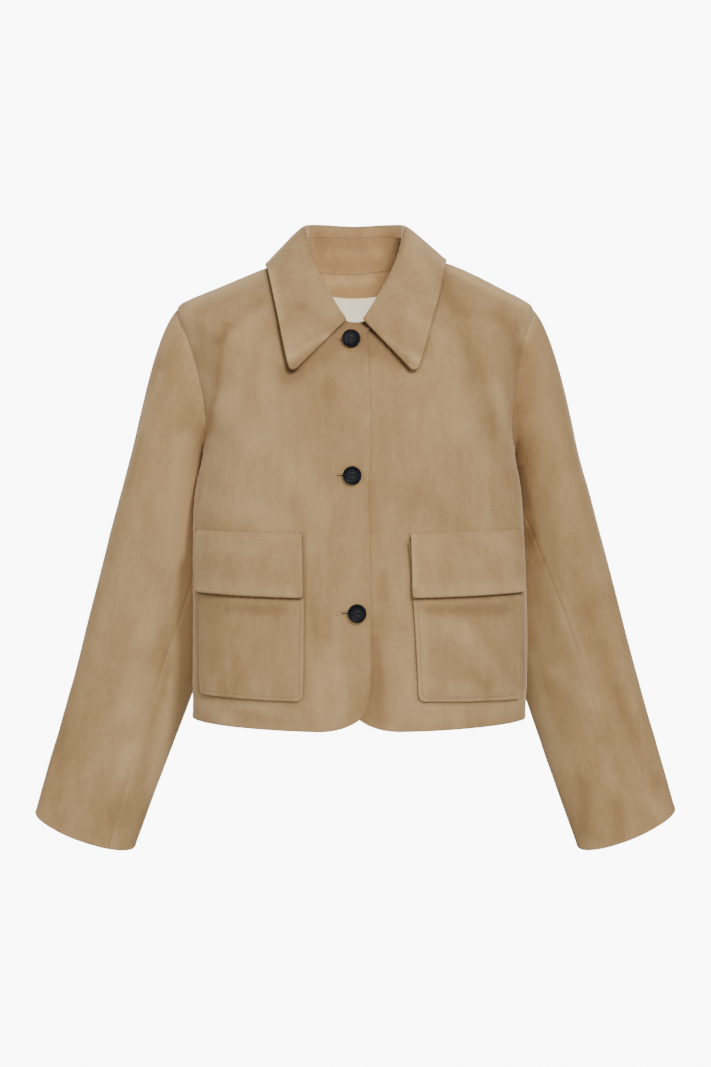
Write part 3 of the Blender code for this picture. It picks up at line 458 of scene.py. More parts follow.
def torso_bare(line, along, level):
    """A place on the torso: along runs from 0 at the centre line to 1 at the side line, on either side."""
    level = np.clip(level, 0.0, 1.0)
    end_x, end_y, end_z = (side_line[name](level) for name in ("end_x", "end_y", "end_z"))
    mid_y, mid_z = line["mid_y"](level), line["mid_z"](level)
    turn = np.sign(mid_y) * line["deep"](level)
    place = bezier(
        np.abs(along),
        points(0.0, mid_y, mid_z),
        points(line["wide"](level) * end_x, mid_y, mid_z),
        points(end_x, end_y + turn, end_z),
        points(end_x, end_y, end_z),
    )
    place[..., 0] *= np.where(np.asarray(along) < 0, -1.0, 1.0)
    return place


def torso(line, along, level, off=0.0):
    """A place on the torso, moved off it along its normal, outwards where off is above 0, and how far the
    folds press it in there."""
    step = 0.002
    here = torso_bare(line, along, level)
    inner, outer = np.abs(along) - step, np.abs(along) + step
    round_it = torso_bare(line, np.maximum(outer, 2 * step), level)
    round_it -= torso_bare(line, np.maximum(inner, 0.0), level)
    up_it = torso_bare(line, np.abs(along), np.minimum(level + step, 1.0))
    up_it -= torso_bare(line, np.abs(along), np.maximum(level - step, 0.0))
    facing = -np.sign(line["mid_y"](0.0))
    normal = facing * unit(np.cross(round_it, up_it))
    normal[..., 0] *= np.where(np.asarray(along) < 0, -1.0, 1.0)
    folds = FRONT_FOLDS if line is front_line else BACK_FOLDS
    seam_fade = ease((1.0 - np.abs(along)) / FOLD_FADE) * ease((1.0 - level) / FOLD_FADE)
    press = (fold_depth(folds, here[..., 0], here[..., 2]) + ripple(here)) * seam_fade
    return swayed(here + normal * (off - press)[..., None]), press


def keep_at(panel, level):
    """The share of a row that the front or the back keeps at a level. The armhole leaves the side seam level,
    so its curve runs over the root of the height above the underarm."""
    inside = (level > ARMHOLE_LOW) & (level < ARMHOLE_HIGH)
    root = np.sqrt(np.clip(level, ARMHOLE_LOW, ARMHOLE_HIGH) - ARMHOLE_LOW)
    return np.where(inside, np.minimum(armhole_keep[panel](root), 1.0), 1.0)


def row_lengths(line, level):
    """For each level, the length of the cloth from the centre line to each share of the row."""
    shares = np.linspace(0.0, 1.0, 49)
    row = torso_bare(line, np.broadcast_to(shares, (len(level), len(shares))), np.asarray(level)[:, None])
    steps = np.linalg.norm(np.diff(row, axis=1), axis=2)
    return shares, np.concatenate([np.zeros((len(level), 1)), np.cumsum(steps, axis=1)], axis=1)


def whole_length(line, level):
    """The length of each row from the centre line to the side line."""
    levels = np.linspace(0.0, 1.0, 201)
    return np.interp(level, levels, row_lengths(line, levels)[1][:, -1])


def share_at(line, reach, level):
    """The share of a row at a distance along the cloth from the centre line."""
    reach, level = np.broadcast_arrays(np.asarray(reach, float), level)
    shares, lengths = row_lengths(line, level.ravel())
    goal = np.abs(reach).ravel()
    after = np.clip((lengths < goal[:, None]).sum(axis=1), 1, len(shares) - 1)
    rows = np.arange(len(goal))
    low, high = lengths[rows, after - 1], lengths[rows, after]
    part = np.clip((goal - low) / (high - low), 0.0, 1.0)
    found = shares[after - 1] + (shares[after] - shares[after - 1]) * part
    return (np.sign(reach).ravel() * found).reshape(reach.shape)


def level_at(line, height):
    """The level at which a height is reached on the centre line."""
    levels = np.linspace(0.0, 1.0, 801)
    return np.interp(height, line["mid_z"](levels), levels)


def quarter_round(far, size, stop=CORNER_STOP):
    """How far a rounded corner of a size draws an edge in, from 1 at the corner to 0 past its size."""
    near = np.clip(1 - far / size, 0.0, 1.0)
    return 1 - np.sqrt(1 - stop * near**2)


def corner_level():
    """The level up to which the rounded hem corner of a front reaches."""
    return level_at(front_line, FRONT_LINE["mid_z"][0] + CORNER_TALL)


def front_edge(level):
    """How far a front goes past the centre line: drawn back at the rounded hem corner."""
    return FRONT_LAP - CORNER_IN * quarter_round(level, corner_level(), 1.0)


def front_place(side, under):
    """A front: side is 1 for the wearer's left and -1 for the right."""

    def place(across, up, off):
        level = up * NECK_LEVEL
        edge = front_edge(level)
        length = whole_length(front_line, level)
        end = keep_at("front", level) - SEAM / 2 / length
        levels, rows = np.unique(level, return_inverse=True)
        start = -share_at(front_line, front_edge(levels), levels)[rows]
        along = start + (end - start) * across
        reach = along * length
        tall = corner_level()
        rise = CORNER_HIGH * quarter_round(reach + edge, CORNER_WIDE) / CORNER_TALL * tall
        level = level + rise * np.clip(1 - level / tall, 0.0, 1.0)
        if under:
            fade = (reach - UNDER_FADE[0]) / (UNDER_FADE[1] - UNDER_FADE[0])
            off = off - UNDER_LAP * (1 - ease(fade))
        else:
            near = np.clip(1 - (reach + edge) / NECK_DROP_WIDE, 0.0, 1.0)
            high = np.clip(1 - (1 - level) / NECK_DROP_TALL, 0.0, 1.0)
            level = level - NECK_DROP * near**1.5 * high
        return torso(front_line, side * along, level, off)

    return place


def back_place(across, up, off):
    level = up * NECK_LEVEL
    end = keep_at("back", level) - SEAM / 2 / whole_length(back_line, level)
    return torso(back_line, (2 * across - 1) * end, level, off)


def inside_place(low, high, keep_share, depth, rise=0.0):
    """A piece on the inside of the back between two levels, the depth of its outer face inside the back, and
    how far it comes back out along its top."""

    def place(across, up, off):
        level = low + (high - low) * up
        end = keep_at("back", level) * keep_share
        out = off - depth + rise * ease((up - 0.8) / 0.2)
        here, press = torso(back_line, (2 * across - 1) * end, level, out)
        return here, -press

    return place


EDGE_LINES = (0.0, 0.12, 0.35, 0.7, 1.1, 1.7, 2.5, 3.4, 4.4, 5.6, 7.2)  # grid lines close to an edge
LINES_APART = 0.45


def grid_lines(size, step, extra=()):
    """Shares of the lines of a grid across a piece: even ones, closer ones next to its borders, and extra
    ones at given places, which take the place of those next to them."""
    near = np.array(EDGE_LINES)
    count = max(int(round((size - 2 * near[-1]) / step)), 2)
    middle = np.linspace(near[-1], size - near[-1], count + 1)[1:-1]
    lines = np.concatenate([near, middle, size - near[::-1]])
    extra = np.unique(np.round(np.asarray(extra, float), 4))
    if len(extra):
        inner = (lines > near[-1]) & (lines < size - near[-1])
        close = np.abs(lines[:, None] - extra).min(axis=1) < LINES_APART
        lines = np.sort(np.concatenate([lines[~(inner & close)], extra]))
    return lines / size


FRONT_SIZE, BACK_SIZE = (222.0, 545.0), (440.0, 560.0)
ARMHOLE_TURN = np.array([0.0, 0.7, 1.6, 3.0, 4.8, 7.0, 9.6])  # close rows over the underarm and the shoulder


def body_rows():
    """The rows of the fronts and the back, as shares of the way up: the armhole's ends fall on rows."""
    low, high = (level / NECK_LEVEL * FRONT_SIZE[1] for level in (ARMHOLE_LOW, ARMHOLE_HIGH))
    turns = [low + ARMHOLE_TURN, high - ARMHOLE_TURN, high + ARMHOLE_TURN[1:]]
    levels, _ = buttonhole_places()
    holes = (levels / NECK_LEVEL * FRONT_SIZE[1])[:, None] + SLIT_ROWS
    return grid_lines(FRONT_SIZE[1], 2.5, np.concatenate(turns + [holes.ravel()]))


def buttonhole_places():
    """The level of each buttonhole, and the shares of the right front's row at its outer and inner end."""
    levels = level_at(front_line, BUTTONS["height"])
    ends = [share_at(front_line, -place, levels) for place in (BUTTONS["hole"], BUTTONS["across"] + 1.0)]
    start = -share_at(front_line, front_edge(levels), levels)
    end = keep_at("front", levels) - SEAM / 2 / whole_length(front_line, levels)
    return levels, [(one - start) / (end - start) for one in ends]


SLIT_ROWS = np.array([-2.4, -1.5, -0.9, -0.5, -0.2, 0.0, 0.2, 0.5, 0.9, 1.5, 2.4])
SLIT_COLUMNS = np.array([-1.6, -0.8, -0.2, 0.6])
SLIT_DEEP, SLIT_WIDE = 1.35, 0.9
SLIT_START, SLIT_END, SLIT_CLOSE, SLIT_NARROW = 0.08, 1.25, 0.2, 0.3  # shares of its length, and of its width
HOLE_STITCH, HOLE_STITCH_LONG, HOLE_STITCH_GAP = 2.2, 1.6, 0.3  # the line of stitches round a buttonhole
BODY_ROWS = body_rows()


def slit(x, z):
    """How deep the buttonholes are at a place of the right front: each is pulled open towards its button."""
    deep = 0.0 * x
    levels, (outer, inner) = buttonhole_places()
    for level, first, last in zip(levels, outer, inner):
        share = (first * FRONT_SIZE[0] - x) / ((first - last) * FRONT_SIZE[0])
        inside = ease(share / SLIT_START) * ease((SLIT_END - share) / SLIT_CLOSE)
        wide = SLIT_WIDE * np.sqrt(np.clip(share, SLIT_NARROW, 1.0))
        deep = deep + inside * swell(z, level / NECK_LEVEL * FRONT_SIZE[1], wide)
    return deep


def armhole_point(side, around):
    """A place on the armhole: around runs from 0 at the underarm, by the front, to 0.5 at the shoulder
    and by the back to 1."""
    place = np.empty(np.shape(around) + (3,))
    levels = BODY_ROWS * NECK_LEVEL
    levels = levels[(levels > ARMHOLE_LOW - 1e-6) & (levels < ARMHOLE_HIGH + 1e-6)]
    for panel, line, first in (("front", front_line, True), ("back", back_line, False)):
        edge, _ = torso(line, side * keep_at(panel, levels), levels, np.zeros(levels.shape))
        steps = np.linalg.norm(np.diff(edge, axis=0), axis=1)
        share = np.concatenate([[0.0], np.cumsum(steps)]) / steps.sum()
        mine = (around <= 0.5) if first else (around > 0.5)
        goal = 2 * around[mine] if first else 2 * (1 - around[mine])
        for axis in range(3):
            place[mine, axis] = np.interp(goal, share, edge[:, axis])
    return place


def sleeve_tube(side, around, along):
    """A place on the sleeve under its head: around starts at the inner end of the ring, by the front."""
    ring = {name: sleeve_ring[name](along) for name in sleeve_ring}
    name = NAMES[side]
    lift = CUFF_LIFT[name] * np.clip(along, 0.0, 1.0) ** CUFF_RISE
    mid_y = ring["mid_y"] - SLEEVE_AHEAD[name] * ease((1.0 - along) / AHEAD_FADE)
    outer = points(ring["outer_x"], mid_y - ring["swing"], ring["outer_z"] + lift)
    inner = points(ring["inner_x"], mid_y + ring["swing"], ring["inner_z"])
    turn = 2 * np.pi * around
    place = (outer + inner) / 2 - (outer - inner) / 2 * np.cos(turn)[..., None]
    ahead = np.sin(turn)
    inner_front = np.mod(around, 1.0) < 0.25
    full = np.where(inner_front, np.abs(ahead) ** SLEEVE_FULL[name] - ahead, 0.0)
    full = full * ease((1.0 - along) / FULL_FADE)
    place += points(0.0, -ring["deep"] * (ahead + full), -ring["drop"] * ahead)
    place[..., 0] *= side
    place[..., 0] += ring["across"] * (0.5 + 0.5 * np.cos(turn))
    return place


def sleeve_bare(side, around, along):
    """A place on the whole sleeve: the head bends from the armhole into the tube."""
    start = SLEEVE["along"][0]
    around = np.mod(around, 1.0)
    lower = sleeve_tube(side, around, np.maximum(along, start))
    share = np.clip(along / start, 0.0, 1.0)[..., None]
    leave = points(*(sleeve_head[name](around) for name in ("out", "back", "down")))
    leave *= np.array([side, 1.0, -1.0])
    first = armhole_point(side, around) + unit(leave) * SEAM
    leave[..., 0] *= 1 - (1 - HEAD_OUT[NAMES[side]]) * np.sin(np.pi * around) ** 2
    last = sleeve_tube(side, around, np.full(np.shape(along), start))
    step = 0.01
    arrive = sleeve_tube(side, around, np.full(np.shape(along), start + step)) - last
    arrive *= start / step
    head = (
        first * (2 * share**3 - 3 * share**2 + 1)
        + leave * (share**3 - 2 * share**2 + share)
        + last * (3 * share**2 - 2 * share**3)
        + arrive * (share**3 - share**2)
    )
    return np.where((along < start)[..., None], head, lower)


def sleeve(side, around, along, off=0.0):
    """A place on the sleeve, moved off it along its normal, and how far the folds press it in there."""
    step = 0.004
    here = sleeve_bare(side, around, along)
    round_it = sleeve_bare(side, around + step, along) - sleeve_bare(side, around - step, along)
    down_it = sleeve_bare(side, around, np.minimum(along + step, 1.0))
    down_it -= sleeve_bare(side, around, np.maximum(along - step, 0.0))
    normal = side * unit(np.cross(down_it, round_it))
    folds = dict(SLEEVE_FOLDS[NAMES[side]])
    for column, size in (("round", SLEEVE_GIRTH), ("along", SLEEVE_LENGTH)):
        for end in ("from_", "to_"):
            folds[end + column] = folds[end + column] * size
    press = fold_depth(folds, np.mod(around, 1.0) * SLEEVE_GIRTH, along * SLEEVE_LENGTH)
    press = press + ripple(here) * ease(along / HEAD_FADE)
    return here + normal * (off - press)[..., None], press


def sleeve_place(name, piece):
    """A sleeve's top piece, over the outside of the arm, or its under piece."""
    side, seams = SIDES[name], sleeve_seams[name]

    def place(across, up, off):
        along = 1 - up
        forearm, elbow = seams["forearm"](along), seams["elbow"](along)
        first, last = (forearm, elbow) if piece == "top" else (elbow, forearm + 1.0)
        gap = SEAM / 2 / SLEEVE_GIRTH
        around = first + gap + (last - first - 2 * gap) * across
        return sleeve(side, around, along, off)

    return place


def neckline(share):
    """A place on the neckline: 0 at the centre front, 1 at the centre back, on the wearer's left."""
    steps = np.linspace(0.0, 1.0, 201)
    ones = np.ones(steps.shape)
    front = torso_bare(front_line, steps, ones)
    back = torso_bare(back_line, steps[::-1], ones)
    whole = np.concatenate([front, back[1:]])
    lengths = np.linalg.norm(np.diff(whole, axis=0), axis=1)
    at = np.concatenate([[0.0], np.cumsum(lengths)]) / lengths.sum()
    return np.stack([np.interp(share, at, whole[:, axis]) for axis in range(3)], axis=-1)


def collar_frame(around):
    """The neckline, the stand's top, the roll's top and the outer edge at a place round the collar.
    around runs from -1 at one front end through 0 at the centre back to 1 at the other end."""
    low = COLLAR["along"][0]
    along = 1 - np.abs(around) * (1 - low)
    side = np.where(around < 0, -1.0, 1.0)
    base = neckline(along)
    top = points(*(collar_line[name](along) for name in ("top_x", "top_y", "top_z")))
    edge = points(*(collar_line[name](along) for name in ("edge_x", "edge_y", "edge_z")))
    rise = unit(top - base)
    out = edge - top
    out = unit(out - np.sum(out * rise, axis=-1, keepdims=True) * rise)
    fold = collar_line["fold"](along)[..., None]
    seam = top - out * fold - rise * collar_line["roll"](along)[..., None]
    corner = np.array([COLLAR[name][0] for name in ("edge_x", "edge_y", "edge_z")])
    drawn = COLLAR_CORNER * quarter_round(np.linalg.norm(edge - corner, axis=-1), COLLAR_CORNER)
    edge = edge + unit(top - edge) * drawn[..., None]
    for place in (base, seam, top, edge, out):
        place[..., 0] *= side
    for place, across in ((seam, COLLAR_ACROSS), (top, COLLAR_ACROSS), (edge, collar_line["lean"](along))):
        place[..., 0] += across
        height = np.clip(place[..., 2], *COLLAR_SWAY)
        place[..., 2] += COLLAR_TILT * sway["tilt"](height) * place[..., 0]
    return swayed(base), seam, top, edge, out * fold


def stand_mid(around, up):
    base, seam, _, _, fold = collar_frame(around)
    up = up[..., None]
    tall = np.linalg.norm(seam - base, axis=-1, keepdims=True)
    share = (NECK_TUCK + (tall - NECK_TUCK - SEAM) * up) / tall
    inward = NECK_IN * (1 - up) + tall * STAND_BULGE * np.sin(np.pi * share)
    return base + (seam - base) * share - unit(fold) * inward


def fall_mid(around, down):
    """The fall's middle surface: up from the stand's seam, over the roll and down to the edge."""
    base, seam, top, edge, fold = collar_frame(around)
    rise = unit(seam - base)
    roll = np.linalg.norm(top - seam, axis=-1, keepdims=True)
    inside = np.clip(down / ROLL_SHARE, 0.0, 1.0)
    outside = np.clip((down - ROLL_SHARE) / (1 - ROLL_SHARE), 0.0, 1.0)
    up_part = bezier(inside, seam, seam + rise * roll * ROLL_UP, top - fold * ROLL_IN, top)
    second = top + fold * ROLL_OUT
    down_part = bezier(outside, top, second, edge + (second - edge) * FALL_SWELL, edge)
    return np.where((down < ROLL_SHARE)[..., None], up_part, down_part)


def collar_place(mid, reach, thick):
    """A piece on both sides of a middle surface mid(around, up) that reaches round the collar."""

    def place(across, up, off):
        step = 0.004
        a = reach * (2 * across - 1)
        along_it = mid(np.minimum(a + step, 1.0), up) - mid(np.maximum(a - step, -1.0), up)
        over_it = mid(a, np.minimum(up + step, 1.0)) - mid(a, np.maximum(up - step, 0.0))
        normal = unit(np.cross(along_it, over_it))
        here = mid(a, up)
        press = COLLAR_RIPPLE * ripple(here)
        return here + normal * (thick / 2 + off - press)[..., None], press

    return place


def laid_place(side, ends, low, high, base_off, thick, corner, taper=(0.0, 0.0), droop=0.0):
    """A piece that lies on a front: its ends, its lower and upper height on the centre line, how far its
    back face stands off at a place base_off(reach, height), how far each end draws in towards its lower
    edge, and the drop of its outer lower end."""

    def place(across, up, off):
        inner, outer = ends
        height = low + (high - low) * up
        down = (high - height) / (high - low)
        inset = corner * quarter_round(height - low, corner)
        start, end = inner + taper[0] * down + inset, outer - taper[1] * down - inset
        reach = start + (end - start) * across
        height = height - droop * across * down
        level = level_at(front_line, height)
        along = share_at(front_line, reach, level)
        return torso(front_line, side * along, level, base_off(reach, height) + thick + off)

    return place


def pocket_off(ends):
    """How far the pocket's back face stands off the front, fullest above the middle."""

    def off(reach, height):
        across = np.clip((reach - ends[0]) / (ends[1] - ends[0]), 0.0, 1.0)
        up = np.clip((height - POCKET_LOW) / (POCKET_HIGH - POCKET_LOW), 0.0, 1.0)
        full = (np.sin(np.pi * across) * np.sin(np.pi * POCKET_PEAK * up)) ** POCKET_FLATNESS
        return POCKET_LIFT + POCKET_FULL * full

    return off


def flap_off(ends):
    """How far the flap's back face stands off the front: over the pocket below its own seam."""
    pocket = pocket_off(ends)

    def off(reach, height):
        over = pocket(reach, height) + SUEDE
        down = (FLAP_HIGH - height) / (FLAP_HIGH - FLAP_LOW)
        start = (FLAP_HIGH - POCKET_HIGH) / (FLAP_HIGH - FLAP_LOW)
        return POCKET_LIFT + over * ease(down / start) + FLAP_LIFT * down**2

    return off


def pocket_place(name):
    """A patch pocket, on the wearer's left or right."""
    ends, lower = POCKET_ENDS[name], (POCKET_CORNER, POCKET_TAPER[name], POCKET_DROOP[name])
    return laid_place(SIDES[name], ends, POCKET_LOW, POCKET_HIGH, pocket_off(ends), SUEDE, *lower)


def flap_place(name):
    """A pocket's flap, on the wearer's left or right."""
    ends = FLAP_ENDS[name]
    return laid_place(SIDES[name], ends, FLAP_LOW, FLAP_HIGH, flap_off(ends), DOUBLE, FLAP_CORNER)


# Brushed nap with painted light and shade, and painted contact shadows ------------------------------------

# How the nap is brushed, as seen from the front and from the back. Each stroke goes from one place to
# another, with its width to either side and its tone, lighter above 0 and darker below. Many of the front's
# strokes are painted light and shade rather than nap: painted shadows under the collar, in the neck, below
# the flaps and beside the front edge, painted light over the shadow that the body throws on the wearer's
# right sleeve, painted highlights along the lower edges of the collar leaves and flaps, the tops of the
# shoulders and the outer sides of the sleeves, and darker strokes over a sheen highlight at the collar's roll.
FRONT_NAP_AND_PAINTED_LIGHT = table(
    "from_x from_z to_x to_z wide tone",
    (-192, -62, -186, -90, 9, 1.5),
    (-252, -300, -245, -430, 16, 0.6),
    (-240, -430, -262, -510, 14, 0.8),
    (-262, -510, -290, -575, 14, 0.7),
    (-270, -598, -274, -640, 10, -1),
    (-185, -45, -105, -12, 9, 1),
    (-152, -92, -108, -48, 7, -0.8),
    (-156, -95, -156, -125, 6, -0.5),
    (-118, -75, -138, -175, 14, 0.8),
    (-140, -160, -112, -208, 16, 0.9),
    (-150, -215, -105, -290, 26, 0.6),
    (-172, -130, -150, -180, 8, 0.8),
    (-74, -134, -10, -92, 13, -1.4),
    (4, -88, 48, -118, 12, -1.4),
    (-30, -125, -38, -185, 18, -0.5),
    (45, -150, 45, -190, 10, -0.5),
    (18, -255, 18, -305, 6, -0.7),
    (20, -400, 22, -470, 6, -0.5),
    (21, -465, 13, -515, 8, -0.8),
    (-78, -22, -62, -55, 9, -0.3),
    (-60, -58, -30, -80, 7, -0.6),
    (-96, -12, -84, -70, 5, 1.2),
    (-80, 32, -92, 8, 7, 0.8),
    (-66, -95, -72, -118, 7, 0.6),
    (66, 18, 80, -25, 10, 0.6),
    (56, -62, 98, -90, 11, 0.7),
    (62, -112, 74, -122, 6, 0.8),
    (60, -35, 45, -90, 8, -0.4),
    (66, 30, 100, 0, 5, 0.8),
    (104, -18, 112, -52, 10, -0.9),
    (118, -62, 160, -66, 14, -0.7),
    (118, -88, 132, -132, 10, -0.6),
    (166, -62, 182, -98, 9, -1),
    (186, -110, 190, -170, 9, -0.8),
    (200, -60, 190, -88, 8, 1.6),
    (110, -8, 195, -52, 6, 1),
    (156, -140, 176, -205, 7, 1),
    (168, -210, 172, -255, 6, -0.6),
    (188, -236, 204, -310, 5, -1.5),
    (70, -280, 110, -300, 18, -0.4),
    (215, -235, 240, -300, 16, 0.5),
    (205, -340, 240, -405, 14, 0.7),
    (203, -450, 228, -600, 8, 1.4),
    (-192, -205, -197, -330, 13, 1.5),
    (-196, -300, -198, -480, 14, 1.9),
    (-212, -480, -236, -600, 8, 0.9),
    (-236, -100, -262, -240, 7, 1),
    (-262, -240, -292, -360, 6, 0.8),
    (236, -100, 262, -240, 7, 1),
    (262, -240, 288, -340, 6, 0.8),
    (-200, -60, -226, -100, 8, 0.8),
    (-40, 30, 40, 30, 14, -1.1),
    (-36, 2, 36, 2, 15, -1),
    (-22, -30, 22, -30, 11, -1.3),
    (43, 32, 17, -40, 6, -1.4),
    (-44, 36, -40, 18, 5, -0.6),
    (-59, 40, -50, 8, 2.5, -1),
    (57, 40, 50, 8, 2.5, -1),
    (244, -400, 270, -500, 14, 0.5),
    (0, -78, 8, -110, 18, -1),
    (-78, -119, -32, -91, 4, 0.9),
    (34, -93, 66, -118, 4, 0.8),
    (-196, -470, -236, -620, 9, 1.4),
    (-140, -391, -82, -391, 6, -0.8),
    (76, -391, 165, -391, 6, -0.8),
    (-175, -366, -72, -372, 7, 0.6),
    (74, -370, 182, -369, 8, 0.7),
    (21, -425, 27, -525, 7, -0.7),
    (-171, -190, -177, -270, 4, -1.2),
    (184, -165, 182, -205, 5, -1),
    (184, -238, 194, -275, 6, -1),
    (-190, -48, -105, -6, 6, 0.8),
    (105, -5, 195, -48, 6, 0.8),
    (-243, -480, -255, -550, 14, 0.8),
    (-262, -560, -275, -610, 12, 0.6),
    (235, -310, 245, -385, 10, 0.7),
    (206, -400, 226, -470, 9, 0.7),
    (216, -500, 240, -575, 10, 0.7),
    (266, -600, 262, -650, 9, -0.5),
    (50, -430, 68, -495, 14, 0.6),
    (98, -410, 120, -420, 12, 0.6),
    (110, -478, 180, -486, 9, 0.5),
    (-178, -496, -100, -500, 5, 0.7),
    (80, -498, 180, -497, 5, 0.7),
    (-30, 16, 30, 16, 6, 0.5),
    (-30, -14, 25, -14, 5, 0.5),
    (100, -26, 104, -46, 6, -0.8),
    (195, -95, 204, -160, 9, -0.6),
    (153, -152, 174, -232, 7, 0.7),
    (124, -195, 146, -235, 14, 0.5),
    (-60, -138, -22, -150, 14, -0.4),
    (-118, -205, -84, -230, 18, 0.4),
    (-165, -268, -125, -282, 14, 0.6),
    (-64, -280, -54, -300, 12, -0.5),
    (-136, -420, -130, -480, 12, -0.4),
    (-46, -380, -42, -440, 8, -0.6),
    (-16, -460, -14, -500, 8, 0.6),
    (200, -310, 214, -340, 6, -0.9),
    (188, -440, 190, -480, 5, -0.8),
    (-215, -420, -218, -500, 6, -0.8),
    (-224, -130, -244, -190, 7, 1),
    (-144, -76, -158, -160, 5, -0.9),
    (-158, -158, -168, -200, 4, -1),
    (-220, -340, -232, -420, 16, 0.8),
    (-205, -215, -225, -330, 16, 0.6),
    (-262, -560, -270, -600, 12, 0.6),
    (30, -420, 46, -500, 11, 0.5),
    (-100, -110, -96, -200, 10, 0.6),
    (-84, -180, -72, -250, 12, 0.5),
    (170, -350, 184, -370, 10, 0.8),
    (206, -290, 216, -330, 9, 0.8),
    (-110, -395, -90, -395, 10, -0.6),
    (70, -392, 160, -396, 7, -0.6),
    (236, -470, 268, -535, 12, 0.7),
    (268, -395, 292, -475, 14, -0.8),
    (298, -490, 348, -600, 9, -0.9),
    (262, -590, 266, -655, 9, -0.7),
    (300, -620, 303, -655, 8, -1),
    (285, -560, 295, -590, 7, 0.6),
    (332, -612, 350, -630, 9, 0.6),
    (-180, -322, -110, -326, 9, 0.6),
    (150, -318, 188, -335, 10, 0.8),
    (60, -312, 64, -365, 4, 1.2),
    (68, -398, 78, -470, 11, 0.8),
    (118, -396, 188, -480, 9, -0.6),
    (128, -462, 142, -478, 7, -0.6),
    (-156, -440, -144, -488, 9, -0.5),
    (-40, -440, -30, -510, 14, 0.5),
    (-182, -500, -140, -512, 8, 1),
    (70, -512, 185, -505, 8, 0.6),
    (-115, -508, -85, -515, 7, -0.5),
)
BACK_NAP = table(
    "from_x from_z to_x to_z wide tone",
    (-150, -70, -120, -170, 16, 0.8),
    (140, -70, 128, -190, 16, 0.7),
    (-60, -60, -40, -150, 18, -0.6),
    (44, -90, 60, -200, 16, -0.6),
    (-20, -200, -34, -330, 20, 0.6),
    (100, -230, 84, -340, 18, 0.7),
    (-130, -240, -120, -380, 18, -0.6),
    (20, -360, 30, -500, 16, -0.7),
    (-80, -400, -92, -505, 14, 0.7),
    (130, -400, 124, -500, 12, 0.6),
    (-252, -260, -246, -420, 16, 0.7),
    (-270, -470, -300, -600, 12, -0.7),
    (240, -260, 262, -400, 16, 0.6),
    (276, -440, 316, -580, 12, -0.7),
    (-60, 30, -20, 20, 10, 0.7),
    (30, 28, 60, 8, 10, -0.6),
)
# Painted contact shadows: where one piece lies on another, shade is painted on the lower one along the upper
# one's edge; the width and the strength of each such line
COLLAR_SHADE_WIDE = 2.8
COLLAR_END_SHADE, COLLAR_SIDE_SHADE = {"left": 0.8, "right": 0.3}, {"left": 0.4, "right": 0.8}
POCKET_SHADE, FLAP_SHADE, LID_SHADE = (2.4, 0.34), (2.5, 0.5), (2.2, 0.75)
STAND_SHADE, FACING_SHADE = (8.5, 0.9), (7.5, 0.8)
SLEEVE_SHADE_WIDE, SLEEVE_SHADE = 1.9, {"left": 0.35, "right": 0.4}
SHADOW_OFFSET = np.array([-0.9, -0.9])  # the painted shadow is darkest a little to one side of the edge, and below it, away from the key light
ROLL_SHADOW_OFFSET = np.array([0.8, 0.0])
BODY_EDGE, BODY_END = 0.985, 0.012  # the body's shadow is painted on a sleeve beside the side seam, to below the armhole


def seen(place):
    """A row of places as seen from the front, moved to where the painted shadow along it is darkest."""
    return place[:, (0, 2)] + SHADOW_OFFSET


def outline_of(place, size=(60, 40)):
    """The two sides and the lower edge of a laid piece, as seen from the front."""
    across = np.concatenate([np.zeros(size[1]), np.linspace(0, 1, size[0]), np.ones(size[1])])
    up = np.concatenate([np.linspace(1, 0, size[1]), np.zeros(size[0]), np.linspace(0, 1, size[1])])
    return seen(place(across, up, 0.0 * up)[0])


def collar_shadow_lines():
    """The lines of painted contact shadow under the collar's two leaves, along the ends and the sides of each.
    """
    lines = []
    for name, end in SIDES.items():
        down = seen(fall_mid(np.full(60, float(end)), np.linspace(ROLL_SHARE, 1.0, 60)))
        along = seen(fall_mid(end * np.linspace(0.45, 1.0, 120), np.ones(120)))
        lines += [(down, COLLAR_SHADE_WIDE, COLLAR_END_SHADE[name]), (along, COLLAR_SHADE_WIDE, COLLAR_SIDE_SHADE[name])]
    return lines


def roll_edge():
    """Where the left leaf rolls over, as seen from the front: its shade is painted on the inside of the neck.
    """
    line = fall_mid(np.linspace(0.4, 1.0, 80), np.full(80, ROLL_SHARE))
    return line[:, (0, 2)] + ROLL_SHADOW_OFFSET


def body_side(side):
    """The side of the body that a sleeve hangs against, as seen from the front: the body's shadow is painted
    on the sleeve along it.
    """
    level = np.linspace(0.0, ARMHOLE_LOW - BODY_END, 160)
    return swayed(torso_bare(front_line, np.full(level.shape, side * BODY_EDGE), level))[:, (0, 2)]


def painted_contact_shade(place, lines):
    """How much painted shade a place gets next to lines of contact, each with its width and strength."""
    dark = np.zeros(len(place))
    for line, wide, strength in lines:
        gap = np.full(len(place), np.inf)
        for spot in line:
            gap = np.minimum(gap, ((place - spot) ** 2).sum(axis=1))
        dark = np.maximum(dark, strength * np.exp(-gap / wide**2))
    return dark


# Cloth shells ------------------------------------------------------------------------------------------

TURNED, STITCHED, SEWN, PLAIN = "turned", "stitched", "sewn", "plain"
EDGE_BEND = 0.55  # how far in from its edge a piece is rounded, as a share of its thickness
EDGE_WEAR = 2.6  # how far in the nap is rubbed lighter
# The height of each line along a border, with its distance from it and its width
TURNED_LINE, STITCHED_LINE = (0.35, 2.4, 2.2), (-0.35, POCKET_STITCH, 0.7)
SEAM_LINE, SEAM_FULL = (-0.30, 0.0, 1.3), (0.14, 3.4, 2.4)
PUCKER, PUCKER_LONG, PUCKER_STRAY, STRAY_LONG = 0.10, 1.9, 1.7, 13.0  # puckers along a seam, uneven in length


def ridge(far, line):
    high, middle, wide = line
    return high * swell(far, middle, wide)


